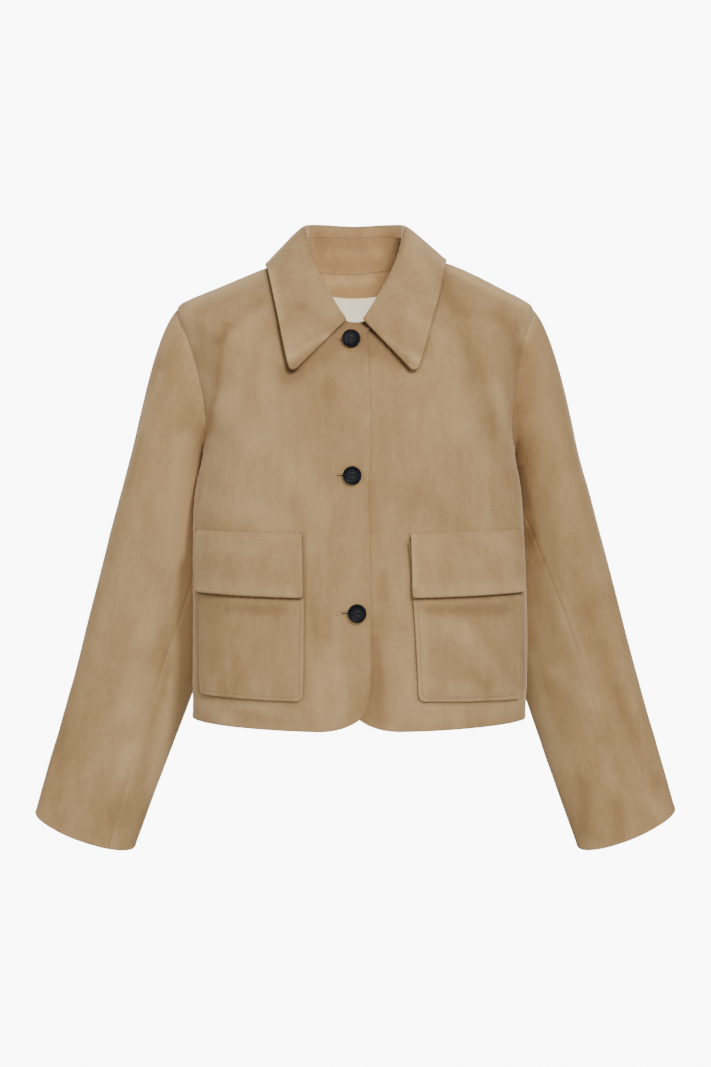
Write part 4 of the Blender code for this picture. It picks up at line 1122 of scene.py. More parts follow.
def edge_relief(kind, far, along):
    """How a border shapes the outer face at a distance from it: a turned edge is full over its folded
    allowance, and a sewn one sinks into the seam and puckers a little along it."""
    if kind == SEWN:
        high, *line = SEAM_FULL
        pucker = PUCKER * np.sin(along / PUCKER_LONG + PUCKER_STRAY * np.sin(along / STRAY_LONG))
        return ridge(far, SEAM_LINE) + (high + pucker) * swell(far, *line)
    relief = 0.0 * far
    if kind in (TURNED, STITCHED):
        relief = relief + ridge(far, TURNED_LINE)
    if kind == STITCHED:
        relief = relief + ridge(far, STITCHED_LINE)
    return relief


def mesh_of(name, corners, quads):
    """A smooth mesh of four-cornered faces."""
    mesh = bpy.data.meshes.new(name)
    mesh.vertices.add(len(corners))
    mesh.vertices.foreach_set("co", corners.ravel())
    mesh.loops.add(quads.size)
    mesh.loops.foreach_set("vertex_index", quads.ravel().astype(np.int32))
    mesh.polygons.add(len(quads))
    mesh.polygons.foreach_set("loop_start", np.arange(0, quads.size, 4, dtype=np.int32))
    mesh.update(calc_edges=True)
    mesh.validate()
    mesh.shade_smooth()
    return mesh


def shell_quads(outer, inner, front, back):
    """The faces of a shell, turned outwards. front and back are the grids of its two sides' corners, and
    outer and inner the places of those corners."""
    quads = []
    for face, turn in ((front, 1), (back, -1)):
        loops = (face[:-1, :-1], face[:-1, 1:], face[1:, 1:], face[1:, :-1])[::turn]
        quads.append(np.stack(loops, axis=-1).reshape(-1, 4))
    quads = np.concatenate(quads)
    rows, columns = front.shape
    middle = rows // 2 * columns + columns // 2
    span_x, span_z = outer[middle + 1] - outer[middle], outer[middle + columns] - outer[middle]
    inside_out = np.dot(np.cross(span_x, span_z), outer[middle] - inner[middle]) < 0
    return quads[:, ::-1] if inside_out else quads


def depth_facing(mesh):
    """How much each corner of a mesh faces the back, from -1 to 1."""
    normals = np.empty(len(mesh.vertices) * 3)
    mesh.vertices.foreach_get("normal", normals)
    return normals[1::3]


def nap_and_painted_light_at(corners, facing):
    """How the nap is brushed, and what light and shade is painted, at each corner, by the strokes of the side
    that it faces.
    """
    nap = 0.0 * facing
    for turn, strokes in ((-2, FRONT_NAP_AND_PAINTED_LIGHT), (2, BACK_NAP)):
        nap += ease(turn * facing) * fold_depth(strokes, corners[:, 0] / MM, corners[:, 2] / MM)
    return nap


def shell(name, place, size, thick, step, borders, rows=None, columns=(), deep=None, lined=None, touch=()):
    """A cut piece of cloth as a closed shell with rounded edges. place(across, up, off) gives its shape,
    borders the kinds of its first, last, lower and upper one, deep the depth of its slits as shares, which is
    also painted dark as the shade inside them, lined the share of lining at a place of its inner face, and the
    last the lines of contact along which shade is painted on its faces that are turned to the front."""
    wide, tall = size
    columns = grid_lines(wide, step[0], columns)
    rows = grid_lines(tall, step[1]) if rows is None else rows
    across, up = (grid.ravel() for grid in np.meshgrid(columns, rows))
    x, z = across * wide, up * tall
    relief = 0.0 * x
    far = np.full(x.shape, np.inf)
    for kind, gap, run in zip(borders, (x, wide - x, z, tall - z), (z, z, x, x)):
        relief = relief + edge_relief(kind, gap, run)
        far = np.minimum(far, gap)
    slits = 0.0 * x if deep is None else deep(x, z)
    relief = relief - SLIT_DEEP * slits
    bend = thick * EDGE_BEND
    drop = thick / 2 * (1 - np.sqrt(1 - np.clip(1 - far / bend, 0.0, 1.0) ** 2))
    outer, press = place(across, up, relief * ease(far / bend) - drop)
    inner, _ = place(across, up, -thick + drop)
    front = np.arange(x.size).reshape(len(rows), len(columns))
    interior = front[1:-1, 1:-1].ravel()
    back = front.copy()
    back[1:-1, 1:-1] = x.size + np.arange(interior.size).reshape(len(rows) - 2, -1)
    corners = np.concatenate([outer, inner[interior]]) * MM
    quads = shell_quads(outer, inner, front, back)
    mesh = mesh_of(name, corners, quads)
    flat = np.stack([x, z], axis=-1) * MM
    flat = np.concatenate([flat, flat[interior]])
    mesh.uv_layers.new(name="cloth").data.foreach_set("uv", flat[quads.ravel()].ravel())
    lining = np.zeros(len(corners))
    if lined is not None:
        lining[x.size :] = lined(x[interior], z[interior])
    facing = depth_facing(mesh)
    inside = np.zeros(len(interior))
    # painted shade: contact shadows on the faces turned to the front, and near black in the buttonhole slits
    dark = painted_contact_shade(corners[:, (0, 2)] / MM, touch) * ease(-2 * facing)
    dark = np.maximum(dark, np.concatenate([slits, inside]))
    # per corner: rubbed edges as wear, the press of the folds as painted shade, the lining, painted shade, and
    # the nap strokes with painted light and shade
    for label, values in (
        ("edge", swell(np.concatenate([far, far[interior]]), 0.0, EDGE_WEAR)),
        ("crease", np.concatenate([press, inside])),
        ("lined", lining),
        ("dark", dark),
        ("nap", nap_and_painted_light_at(corners, facing)),
    ):
        layer = mesh.attributes.new(label, "FLOAT", "POINT")
        layer.data.foreach_set("value", values.astype(np.float32))
    thing = bpy.data.objects.new(name, mesh)
    bpy.context.scene.collection.objects.link(thing)
    return thing


def sew(thing, node):
    """Attach a finished piece of cloth to the body and hide the node of the frame that it stands for."""
    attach(thing, BODY)
    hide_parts(node)


# Finishes ----------------------------------------------------------------------------------------------


class Wire:
    """A number that changes over a surface. Arithmetic on it adds Math nodes to its finish."""

    def __init__(self, paint, socket):
        self.paint = paint
        self.socket = socket

    def math(self, operation, first, second):
        return self.paint.add("ShaderNodeMath", {"operation": operation}, {0: first, 1: second})

    def __add__(self, other):
        return self.math("ADD", self, other)

    __radd__ = __add__

    def __sub__(self, other):
        return self.math("SUBTRACT", self, other)

    def __rsub__(self, other):
        return self.math("SUBTRACT", other, self)

    def __mul__(self, other):
        return self.math("MULTIPLY", self, other)

    __rmul__ = __mul__


class Paint:
    """A finish being mixed: a material and its nodes."""

    def __init__(self, name, **fixed):
        self.material = bpy.data.materials.new(name)
        self.material.use_nodes = True
        self.tree = self.material.node_tree
        self.shader = self.tree.nodes["Principled BSDF"]
        for label, value in fixed.items():
            self.shader.inputs[label.replace("_", " ").title().replace("Ior", "IOR")].default_value = value

    def add(self, kind, settings=None, sockets=None, out=0):
        """A node: its type, its settings, the values or links of its sockets, and the output to use."""
        node = self.tree.nodes.new(kind)
        for label, value in (settings or {}).items():
            if label == "stops":
                while len(node.color_ramp.elements) < len(value):
                    node.color_ramp.elements.new(0.5)
                for element, (position, colour) in zip(node.color_ramp.elements, value):
                    element.position, element.color = position, colour
            else:
                setattr(node, label, value)
        for label, value in (sockets or {}).items():
            self.feed(node.inputs[label], value)
        return Wire(self, node.outputs[out])

    def feed(self, socket, value):
        if isinstance(value, Wire):
            self.tree.links.new(value.socket, socket)
        else:
            socket.default_value = value

    def noise(self, vector, scale, detail=2.0, roughness=0.5, distortion=0.0):
        sockets = {"Vector": vector, "Scale": scale, "Detail": detail, "Roughness": roughness}
        sockets["Distortion"] = distortion
        return self.add("ShaderNodeTexNoise", None, sockets, "Fac")

    def bands(self, vector, scale):
        sockets = {"Vector": vector, "Scale": scale}
        return self.add("ShaderNodeTexWave", {"bands_direction": "DIAGONAL"}, sockets, "Fac")

    def place(self):
        return self.add("ShaderNodeTexCoord", None, None, "Object")

    def attribute(self, name):
        return self.add("ShaderNodeAttribute", {"attribute_name": name}, None, "Fac")

    def mix(self, share, first, second, blend="MIX"):
        settings = {"data_type": "RGBA", "blend_type": blend, "clamp_factor": True}
        return self.add("ShaderNodeMix", settings, {0: share, 6: first, 7: second}, 2)

    def bump(self, height, strength, distance, under=None):
        sockets = {"Height": height, "Strength": strength, "Distance": distance}
        if under is not None:
            sockets["Normal"] = under
        return self.add("ShaderNodeBump", None, sockets)

    def finish(self, colour=None, roughness=None, normal=None):
        for label, value in (("Base Color", colour), ("Roughness", roughness), ("Normal", normal)):
            if value is not None:
                self.feed(self.shader.inputs[label], value)
        return self.material


SUEDE_SHEEN = (1.0, 0.80, 0.56, 1.0)
PAINTED_SHADE_TONE = (0.015, 0.010, 0.006, 1.0)  # painted shade: the near black painted into a slit and along a line of contact
NAP_AND_PAINTED_LIGHT_TONE, FOLD_SHADE_TONE, EDGE_TONE = 0.33, -0.06, 0.05  # what the strokes (brushed nap with painted light and shade), the folds (painted shade, darker in troughs and lighter on ridges) and the rubbed edges add


def suede_finish(name, colours, shift, lean, brush, lining):
    """Napped suede: cloudy patches, streaks where the nap is brushed down, short mottling and a fine grain.
    lean turns the streaks from upright, and brush is how many times longer than wide they are."""
    dark, plain, light = colours
    paint = Paint(name, sheen_weight=0.66, sheen_roughness=0.36, specular_ior_level=0.12)
    paint.shader.inputs["Sheen Tint"].default_value = SUEDE_SHEEN
    place = paint.place()
    moved = {"Vector": place, "Location": (shift, shift * 0.7, shift * 1.3)}
    hide = paint.add("ShaderNodeMapping", None, moved)
    along = {"Vector": hide, "Rotation": (0.0, lean, 0.0), "Scale": (1.0, 1.0, brush)}
    brushed = paint.add("ShaderNodeMapping", {"vector_type": "TEXTURE"}, along)
    cloud = paint.noise(hide, 13.0, 2.0, 0.5, 0.3)
    patch = paint.noise(brushed, 34.0, 3.0, 0.55, 0.5)
    streak = paint.noise(brushed, 90.0, 3.0, 0.6, 0.4)
    mottle = paint.noise(hide, 210.0, 3.0, 0.65)
    grain = paint.noise(hide, 1300.0, 2.0, 0.6)
    tone = (cloud - 0.5) * 0.5 + (patch - 0.5) * 0.5 + (streak - 0.5) * 0.35 + (mottle - 0.5) * 0.45
    tone = tone + (grain - 0.5) * 0.3 + 0.5
    # the folds add painted shade, the strokes brushed nap with painted light and shade, and the edges rubbed
    # wear
    for layer, strength in (("crease", FOLD_SHADE_TONE), ("edge", EDGE_TONE), ("nap", NAP_AND_PAINTED_LIGHT_TONE)):
        tone = tone + paint.attribute(layer) * strength
    lowest, highest = ([end[i] * share for i in range(3)] for end, share in ((dark, 0.88), (light, 1.11)))
    stops = [(0.0, (*lowest, 1.0)), (0.2, dark), (0.5, plain), (0.8, light), (1.0, (*highest, 1.0))]
    colour = paint.add("ShaderNodeValToRGB", {"stops": stops}, {"Fac": tone})
    # painted shade: near black along the contact lines and in the buttonhole slits
    colour = paint.mix(paint.attribute("dark"), colour, PAINTED_SHADE_TONE)
    inside = paint.attribute("lined")
    colour = paint.mix(inside, colour, lining)
    rough = 0.95 - inside * 0.4 + (mottle - 0.5) * 0.05
    height = grain * 0.5 + mottle * 0.8 + streak
    return paint.finish(colour, rough, paint.bump(height, 0.35, 0.0005))


def lining_finish(colour, shade):
    """Smooth woven lining with a faint twill line and a slight satin sheen."""
    paint = Paint("lining_cream", sheen_weight=0.1, specular_ior_level=0.45)
    cloth = paint.add("ShaderNodeUVMap", {"uv_map": "cloth"})
    twill = paint.bands(cloth, 900.0)
    soft = paint.noise(cloth, 22.0, 2.0)
    tone = paint.mix((soft - 0.35) * 1.2 + (twill - 0.5) * 0.08, shade, colour)
    return paint.finish(tone, 0.5 + (soft - 0.5) * 0.12, paint.bump(twill * 0.4 + soft, 0.2, 0.0004))


def thread_finish(name, colour):
    """Twisted sewing thread."""
    paint = Paint(name, sheen_weight=0.2)
    place = paint.place()
    twist = paint.bands(place, 700.0)
    dim = tuple(0.6 * value for value in colour[:3]) + (1.0,)
    return paint.finish(paint.mix(twist * 0.6 + 0.4, dim, colour), 0.7, paint.bump(twist, 0.4, 0.0002))


def button_finish(colour, light):
    """Polished horn-like button: near black with faint blue-grey streaks and fine turning marks."""
    paint = Paint("button_navy", specular_ior_level=0.1)
    place = paint.place()
    streak = paint.noise(place, 160.0, 4.0, 0.6, 1.5)
    speck = paint.noise(place, 900.0, 2.0)
    tone = paint.mix((streak - 0.45) * 2.0, colour, light)
    return paint.finish(tone, 0.42 + (speck - 0.5) * 0.2, paint.bump(speck, 0.12, 0.0002))


# Sizes and colours -------------------------------------------------------------------------------------


def colour_property(name, description, default):
    return bpy.props.FloatVectorProperty(
        name=name, description=description, subtype="COLOR", size=4, min=0.0, max=1.0, default=default
    )


def number_property(name, description, default, **limits):
    return bpy.props.FloatProperty(name=name, description=description, default=default, **limits)


def length_property(name, description, default):
    return number_property(name, description, default, unit="LENGTH", min=0.0)


def power_property(name, default):
    return number_property(name, "Power of this light in watts", default, unit="POWER", min=0.0)


class JacketSizes(bpy.types.PropertyGroup):
    """Sizes that a maker would change."""

    button_width: length_property("Button width", "Width of a button", 0.0204)
    button_height: length_property("Button height", "Height of a button over its back", 0.0036)
    stitch: length_property("Stitch length", "Length of a visible stitch", 0.0026)
    stitch_gap: length_property("Stitch gap", "Gap between two stitches", 0.0009)
    thread: length_property("Thread width", "Width of the sewing thread", 0.0005)


class JacketColours(bpy.types.PropertyGroup):
    """Colours that a maker would change."""

    suede_dark: colour_property("Suede, dark", "Nap brushed down", (0.315, 0.188, 0.085, 1.0))
    suede_plain: colour_property("Suede", "Usual nap", (0.385, 0.244, 0.112, 1.0))
    suede_light: colour_property("Suede, light", "Nap brushed up", (0.455, 0.304, 0.148, 1.0))
    lining: colour_property("Lining", "Cream lining", (0.78, 0.73, 0.56, 1.0))
    lining_shade: colour_property("Lining, shaded", "Lining in its soft folds", (0.66, 0.61, 0.455, 1.0))
    thread: colour_property("Thread", "Tone-on-tone thread", (0.29, 0.20, 0.115, 1.0))
    hole_thread: colour_property("Buttonhole thread", "Thread round a buttonhole", (0.15, 0.10, 0.06, 1.0))
    button: colour_property("Button", "Navy-black button", (0.004, 0.005, 0.008, 1.0))
    button_thread: colour_property("Button thread", "Navy thread", (0.010, 0.011, 0.016, 1.0))
    button_light: colour_property("Button, streaks", "Faint streaks in it", (0.007, 0.008, 0.012, 1.0))


class JacketStage(bpy.types.PropertyGroup):
    """Floor, camera and lights."""

    distance: length_property("Camera distance", "From the camera to the middle of the jacket", 2.6)
    eye: number_property("Eye height", "Height of the camera", -0.309, unit="LENGTH")
    floor: colour_property("Floor", "Plain pale floor", (1.0, 1.0, 1.0, 1.0))
    paper: number_property("Paper", "Brightness of the floor and the background", 9.5, min=0.0)
    around: number_property("Soft light", "Strength of the light from all round", 0.48, min=0.0)
    key: power_property("Key light", 215.0)
    fill: power_property("Fill light", 48.0)
    front: power_property("Front light", 62.0)
    back: power_property("Back light", 60.0)
    lining: power_property("Lining light", 0.34)


def sizes():
    return bpy.context.scene.jacket_sizes


def colours():
    return bpy.context.scene.jacket_colours


HIDE_PLACES, HIDE_STEP = 97, 0.37


def suede_for(name):
    """The suede of one cut piece, each from its own part of the hide."""
    tones = colours()
    shift = sum(ord(letter) * (i + 1) for i, letter in enumerate(name)) % HIDE_PLACES * HIDE_STEP
    hide = (tuple(tones.suede_dark), tuple(tones.suede_plain), tuple(tones.suede_light))
    side = name.endswith("left") - name.endswith("right")
    lean = -SLEEVE_LEAN * side if "sleeve" in name else 0.0
    brush = 1.3 if "collar" in name else 3.2
    return suede_finish(f"suede_{name}", hide, shift, lean, brush, tuple(tones.lining))


def dress(thing, material):
    thing.data.materials.clear()
    thing.data.materials.append(material)
    return thing


def deselect():
    bpy.ops.object.select_all(action="DESELECT")


def turned(name, sides, rings):
    """A turned piece standing on its first ring. Each ring is a width from the axis and a height, in mm."""
    deselect()
    (wide, high), *rest = rings
    bpy.ops.mesh.primitive_circle_add(vertices=sides, radius=wide * MM, fill_type="NGON")
    thing = bpy.context.object
    thing.name = name
    bpy.ops.object.mode_set(mode="EDIT")
    bpy.ops.mesh.select_all(action="SELECT")
    bpy.ops.transform.translate(value=(0.0, 0.0, high * MM))
    for next_wide, next_high in rest:
        rise = (0.0, 0.0, (next_high - high) * MM)
        bpy.ops.mesh.extrude_region_move(TRANSFORM_OT_translate={"value": rise})
        grow = next_wide / wide
        bpy.ops.transform.resize(value=(grow, grow, 1.0), center_override=(0.0, 0.0, 0.0))
        wide, high = next_wide, next_high
    bpy.ops.mesh.select_all(action="SELECT")
    bpy.ops.mesh.normals_make_consistent(inside=False)
    bpy.ops.object.mode_set(mode="OBJECT")
    return thing


def points_of(thing):
    found = np.empty(len(thing.data.vertices) * 3)
    thing.data.vertices.foreach_get("co", found)
    return found.reshape(-1, 3)


def scrap(thing):
    bpy.data.meshes.remove(thing.data)


THREAD_OFF = 0.12  # how far the middle of a stitch is off the cloth, as a share of its width
STITCH_RINGS = ((0.35, -1.0), (0.85, -0.82), (1.0, -0.4), (1.0, 0.4), (0.85, 0.82), (0.35, 1.0))


def between(known, values, goal):
    """Points of a line at the distances in goal, from the distances that are known."""
    return np.stack([np.interp(goal, known, values[:, axis]) for axis in range(3)], axis=-1)


def stitch_rows(name, place, size, paths, run, gap, material):
    """Rows of stitches that lie on a piece. Each path is a list of corners in the piece's own measures."""
    thread = sizes().thread / MM
    half = run / 2
    model = turned("stitch", 6, [(thread / 2 * wide, half * high) for wide, high in STITCH_RINGS])
    bpy.ops.object.shade_smooth()
    shape = points_of(model) / MM
    centres, turns = [], []
    for path in paths:
        corners = np.array(path, float)
        legs = np.linalg.norm(np.diff(corners, axis=0), axis=1)
        along = np.concatenate([[0.0], np.cumsum(legs)])
        spots = np.linspace(0.0, along[-1], max(int(along[-1] / 0.5), 4))
        x, z = (np.interp(spots, along, corners[:, axis]) for axis in (0, 1))
        off = np.full(x.shape, thread * THREAD_OFF)
        line, lifted = (place(x / size[0], z / size[1], off + rise)[0] for rise in (0.0, 1.0))
        travelled = np.concatenate([[0.0], np.cumsum(np.linalg.norm(np.diff(line, axis=0), axis=1))])
        count = max(int(travelled[-1] / (run + gap)), 1)
        goals = (np.arange(count) + 0.5) * travelled[-1] / count
        heading = unit(between(travelled, line, goals + half) - between(travelled, line, goals - half))
        outward = between(travelled, unit(lifted - line), goals)
        aside = unit(np.cross(outward, heading))
        centres.append(between(travelled, line, goals))
        turns.append(np.stack([aside, np.cross(heading, aside), heading], axis=-2))
    centres, turns = np.concatenate(centres), np.concatenate(turns)
    spots = centres[:, None] + np.einsum("vi,nij->nvj", shape, turns)  # every stitch's own points
    loops = [list(face.vertices) for face in model.data.polygons]
    faces = [[i + len(shape) * n for i in loop] for n in range(len(centres)) for loop in loops]
    scrap(model)
    mesh = bpy.data.meshes.new(name)
    mesh.from_pydata((spots.reshape(-1, 3) * MM).tolist(), [], faces)
    mesh.shade_smooth()
    thing = bpy.data.objects.new(name, mesh)
    bpy.context.scene.collection.objects.link(thing)
    dress(thing, material)
    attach(thing, BODY)
    return thing


# Pieces ------------------------------------------------------------------------------------------------


FACING_WIDE, HEM_DEEP, CUFF_DEEP, NECK_HIGH = 70.0, 38.0, 36.0, 535.0  # where suede faces the inside
LINING_FADE = 1.5


def front_lining(x, z):
    """A front is faced with suede along its edge and hem, and lined inside that."""
    return ease((x - FACING_WIDE) / LINING_FADE) * ease((z - HEM_DEEP) / LINING_FADE)


def back_lining(x, z):
    """The back is faced with suede along its hem and under the neck seam."""
    return ease((z - HEM_DEEP) / LINING_FADE) * ease((NECK_HIGH - z) / LINING_FADE)


def sleeve_lining(x, z):
    return ease((z - CUFF_DEEP) / LINING_FADE)


def suede_piece(node, place, size, thick, step, borders, flat, area, rests_on=(), **look):
    """Cut a piece of suede, give it its finish, attach it to the body and hide its node of the frame. Its cut
    is not used.
    """
    piece = shell(f"suede_{node}", place, size, thick, step, borders, **look)
    dress(piece, suede_for(node))
    sew(piece, node)


def buttonhole_paths():
    """The stitches round each buttonhole, in the right front's own measures."""
    paths = []
    levels, (outer, inner) = buttonhole_places()
    for level, last, first in zip(levels, outer * FRONT_SIZE[0], inner * FRONT_SIZE[0]):
        z = level / NECK_LEVEL * FRONT_SIZE[1]
        paths.append(
            [
                (first, z + HOLE_STITCH),
                (last + 0.6, z + HOLE_STITCH),
                (last + 2.6, z + HOLE_STITCH / 2),
                (last + 2.6, z - HOLE_STITCH / 2),
                (last + 0.6, z - HOLE_STITCH),
                (first, z - HOLE_STITCH),
            ]
        )
    return paths


class JACKET_OT_fronts(bpy.types.Operator):
    """Cut and shape the two fronts."""

    bl_idname = "jacket.fronts"
    bl_label = "Fronts"

    def execute(self, context):
        hole_ends = buttonhole_places()[1][0] * FRONT_SIZE[0]
        for name, side in SIDES.items():
            under = name == "left"
            place = front_place(side, under)
            # painted contact shadows on the front, under the collar's leaves, the pocket and its flap
            touch = collar_shadow_lines()
            touch.append((outline_of(pocket_place(name)), *POCKET_SHADE))
            touch.append((outline_of(flap_place(name)), *FLAP_SHADE))
            piece = shell(
                f"suede_front_{name}",
                place,
                FRONT_SIZE,
                SUEDE,
                (2.2, 2.5),
                (TURNED, SEWN, TURNED, SEWN),
                rows=BODY_ROWS,
                columns=() if under else (hole_ends[:, None] + SLIT_COLUMNS).ravel(),
                deep=None if under else slit,
                lined=front_lining,
                touch=touch,
            )
            dress(piece, suede_for(f"front_{name}"))
            if not under:
                thread = thread_finish("thread_buttonholes", tuple(colours().hole_thread))
                paths, stitch = buttonhole_paths(), (HOLE_STITCH_LONG, HOLE_STITCH_GAP)
                stitch_rows("stitches_buttonholes", place, FRONT_SIZE, paths, *stitch, thread)
            sew(piece, f"front_{name}")
        return {"FINISHED"}


class JACKET_OT_back(bpy.types.Operator):
    """Cut and shape the back."""

    bl_idname = "jacket.back"
    bl_label = "Back"

    def execute(self, context):
        borders, cut = (SEWN, SEWN, TURNED, SEWN), ((0.46, 0.56), 0.230)
        look = {"rows": BODY_ROWS, "lined": back_lining}
        suede_piece("back", back_place, BACK_SIZE, SUEDE, (3.0, 2.7), borders, *cut, **look)
        return {"FINISHED"}


class JACKET_OT_sleeves(bpy.types.Operator):
    """Cut and shape the two-piece sleeves."""

    bl_idname = "jacket.sleeves"
    bl_label = "Sleeves"

    def execute(self, context):
        borders = (SEWN, SEWN, TURNED, SEWN)
        for name, side in SIDES.items():
            # shade painted on the sleeve along the side of the body
            look = {"lined": sleeve_lining, "touch": [(body_side(side), SLEEVE_SHADE_WIDE, SLEEVE_SHADE[name])]}
            for piece, size, cut in (
                ("top", (180.0, 600.0), ((0.22, 0.64), 0.105)),
                ("under", (130.0, 560.0), ((0.16, 0.56), 0.068)),
            ):
                place = sleeve_place(name, piece)
                suede_piece(f"{piece}sleeve_{name}", place, size, SUEDE, (2.8, 2.9), borders, *cut, **look)
        return {"FINISHED"}


class JACKET_OT_collar(bpy.types.Operator):
    """Cut and shape the collar's stand and fall."""

    bl_idname = "jacket.collar"
    bl_label = "Collar"

    def execute(self, context):
        stand, fall = collar_place(stand_mid, STAND_REACH, DOUBLE), collar_place(fall_mid, 1.0, DOUBLE)
        # shade of the rolled leaf painted inside the stand
        borders, cut, touch = (PLAIN,) * 4, ((0.42, 0.04), 0.012), [(roll_edge(), *STAND_SHADE)]
        suede_piece("collar_stand", stand, (400.0, 34.0), DOUBLE, (2.4, 2.0), borders, *cut, touch=touch)
        borders, cut = (TURNED, TURNED, PLAIN, TURNED), ((0.56, 0.12), 0.045)
        suede_piece("collar_fall", fall, (560.0, 105.0), DOUBLE, (2.2, 2.0), borders, *cut)
        return {"FINISHED"}


class JACKET_OT_inside(bpy.types.Operator):
    """Cut the neck facing and the lining of the upper back."""

    bl_idname = "jacket.inside"
    bl_label = "Facing and lining"

    def execute(self, context):
        place = inside_place(FACING_LOW, NECK_LEVEL, FACING_KEEP, SUEDE + LAYER, FACING_RISE)
        borders, cut = (SEWN, SEWN, TURNED, PLAIN), ((0.21, 0.035), 0.0056)
        # shade of the rolled leaf painted on the facing
        touch = [(roll_edge(), *FACING_SHADE)]
        suede_piece("back_neck_facing", place, (200.0, 28.0), SUEDE, (2.2, 2.0), borders, *cut, touch=touch)
        tones = colours()
        place = inside_place(LINING_LOW, FACING_LOW + LINING_TUCK, LINING_KEEP, SUEDE + LINING_GAP)
        lining = shell("lining_back", place, (360.0, 165.0), LINING, (3.2, 3.0), (PLAIN,) * 4)
        dress(lining, lining_finish(tuple(tones.lining), tuple(tones.lining_shade)))
        sew(lining, "back_lining")
        return {"FINISHED"}


class JACKET_OT_pockets(bpy.types.Operator):
    """Cut the patch pockets and their flaps."""

    bl_idname = "jacket.pockets"
    bl_label = "Pockets"

    def execute(self, context):
        thread = thread_finish("thread_tan", tuple(colours().thread))
        for name in SIDES:
            front, pocket, flap = f"front_{name}", f"pocket_{name}", f"flap_{name}"
            bag_place, lid_place = pocket_place(name), flap_place(name)
            wide = POCKET_ENDS[name][1] - POCKET_ENDS[name][0]
            size, borders = (wide, POCKET_HIGH - POCKET_LOW), (STITCHED, STITCHED, STITCHED, PLAIN)
            # shade under the flap painted on the pocket
            touch = [(outline_of(lid_place), *LID_SHADE)]
            bag = shell(f"suede_{pocket}", bag_place, size, SUEDE, (1.9, 2.0), borders, touch=touch)
            dress(bag, suede_for(pocket))
            inset, turn, top = POCKET_STITCH, POCKET_TURN, POCKET_STITCH_TOP
            path = [(inset, top), (inset, turn), (turn, inset)]
            path += [(wide - x, z) for x, z in reversed(path)]
            run, gap = sizes().stitch / MM, sizes().stitch_gap / MM
            rows = stitch_rows(f"stitches_{pocket}", bag_place, size, [path], run, gap, thread)
            sew(bag, pocket)
            size = (FLAP_ENDS[name][1] - FLAP_ENDS[name][0], FLAP_HIGH - FLAP_LOW)
            borders, cut = (TURNED, TURNED, TURNED, SEWN), ((0.145, 0.07), 0.0099)
            suede_piece(flap, lid_place, size, DOUBLE, (2.0, 2.0), borders, *cut, [f"suede_{pocket}"])
        return {"FINISHED"}


BUTTON_RINGS = (  # shares of the button's half width, and of its height
    (0.882, 0.0),
    (0.95, 0.04),
    (0.985, 0.14),
    (1.0, 0.3),
    (1.0, 0.7),
    (0.985, 0.86),
    (0.955, 0.95),
    (0.915, 0.995),
    (0.875, 1.0),
    (0.838, 0.98),
    (0.805, 0.92),
    (0.75, 0.82),
    (0.69, 0.745),
    (0.62, 0.72),
)
SHANK_RINGS = ((2.1, -2.2), (1.7, -1.6), (1.5, -0.8), (1.7, 0.1), (2.0, 0.6))
HOLE_WIDE, HOLES_APART = 1.9, 4.6
STRAND, STRANDS_APART, STRAND_FLAT = 0.26, 0.42, 0.34
BUTTON_SIDES, HOLE_SIDES, SHANK_SIDES, STRAND_SIDES = 64, 20, 16, (20, 8)
BUTTON_SHARP = math.radians(32.0)  # an edge of a button that bends more than this stays sharp
DRILL_ENDS = (-5.0, 10.0)
STRAND_SUNK = 0.1  # how far a strand's middle lies under the button's face
BUTTON_OFF = 1.2  # from the cloth to the button's back
BUTTON_HANG, BUTTON_CLEAR = 0.55, 0.45  # how far a button hangs back to upright, and is lifted clear for it


def button_model():
    """A rimmed button with a hollow face and four bored holes."""
    size = sizes()
    wide, high = size.button_width / 2 / MM, size.button_height / MM
    rings = [(wide * reach, high * rise) for reach, rise in BUTTON_RINGS]
    button = turned("button_model", BUTTON_SIDES, rings)
    drills = []
    for x in (-1, 1):
        for y in (-1, 1):
            drill = turned("drill", HOLE_SIDES, [(HOLE_WIDE / 2, end) for end in DRILL_ENDS])
            drill.location = (x * HOLES_APART / 2 * MM, y * HOLES_APART / 2 * MM, 0.0)
            drills.append(drill)
    deselect()
    for drill in drills:
        drill.select_set(True)
    bpy.context.view_layer.objects.active = drills[0]
    bpy.ops.object.join()
    bpy.ops.object.transform_apply(location=True, rotation=True, scale=True)
    deselect()
    button.select_set(True)
    bpy.context.view_layer.objects.active = button
    bpy.ops.object.modifier_add(type="BOOLEAN")
    bore = button.modifiers[-1]
    bore.operation, bore.solver, bore.object = "DIFFERENCE", "EXACT", drills[0]
    bpy.ops.object.modifier_apply(modifier=bore.name)
    bpy.ops.object.shade_smooth_by_angle(angle=BUTTON_SHARP)
    scrap(drills[0])
    return button


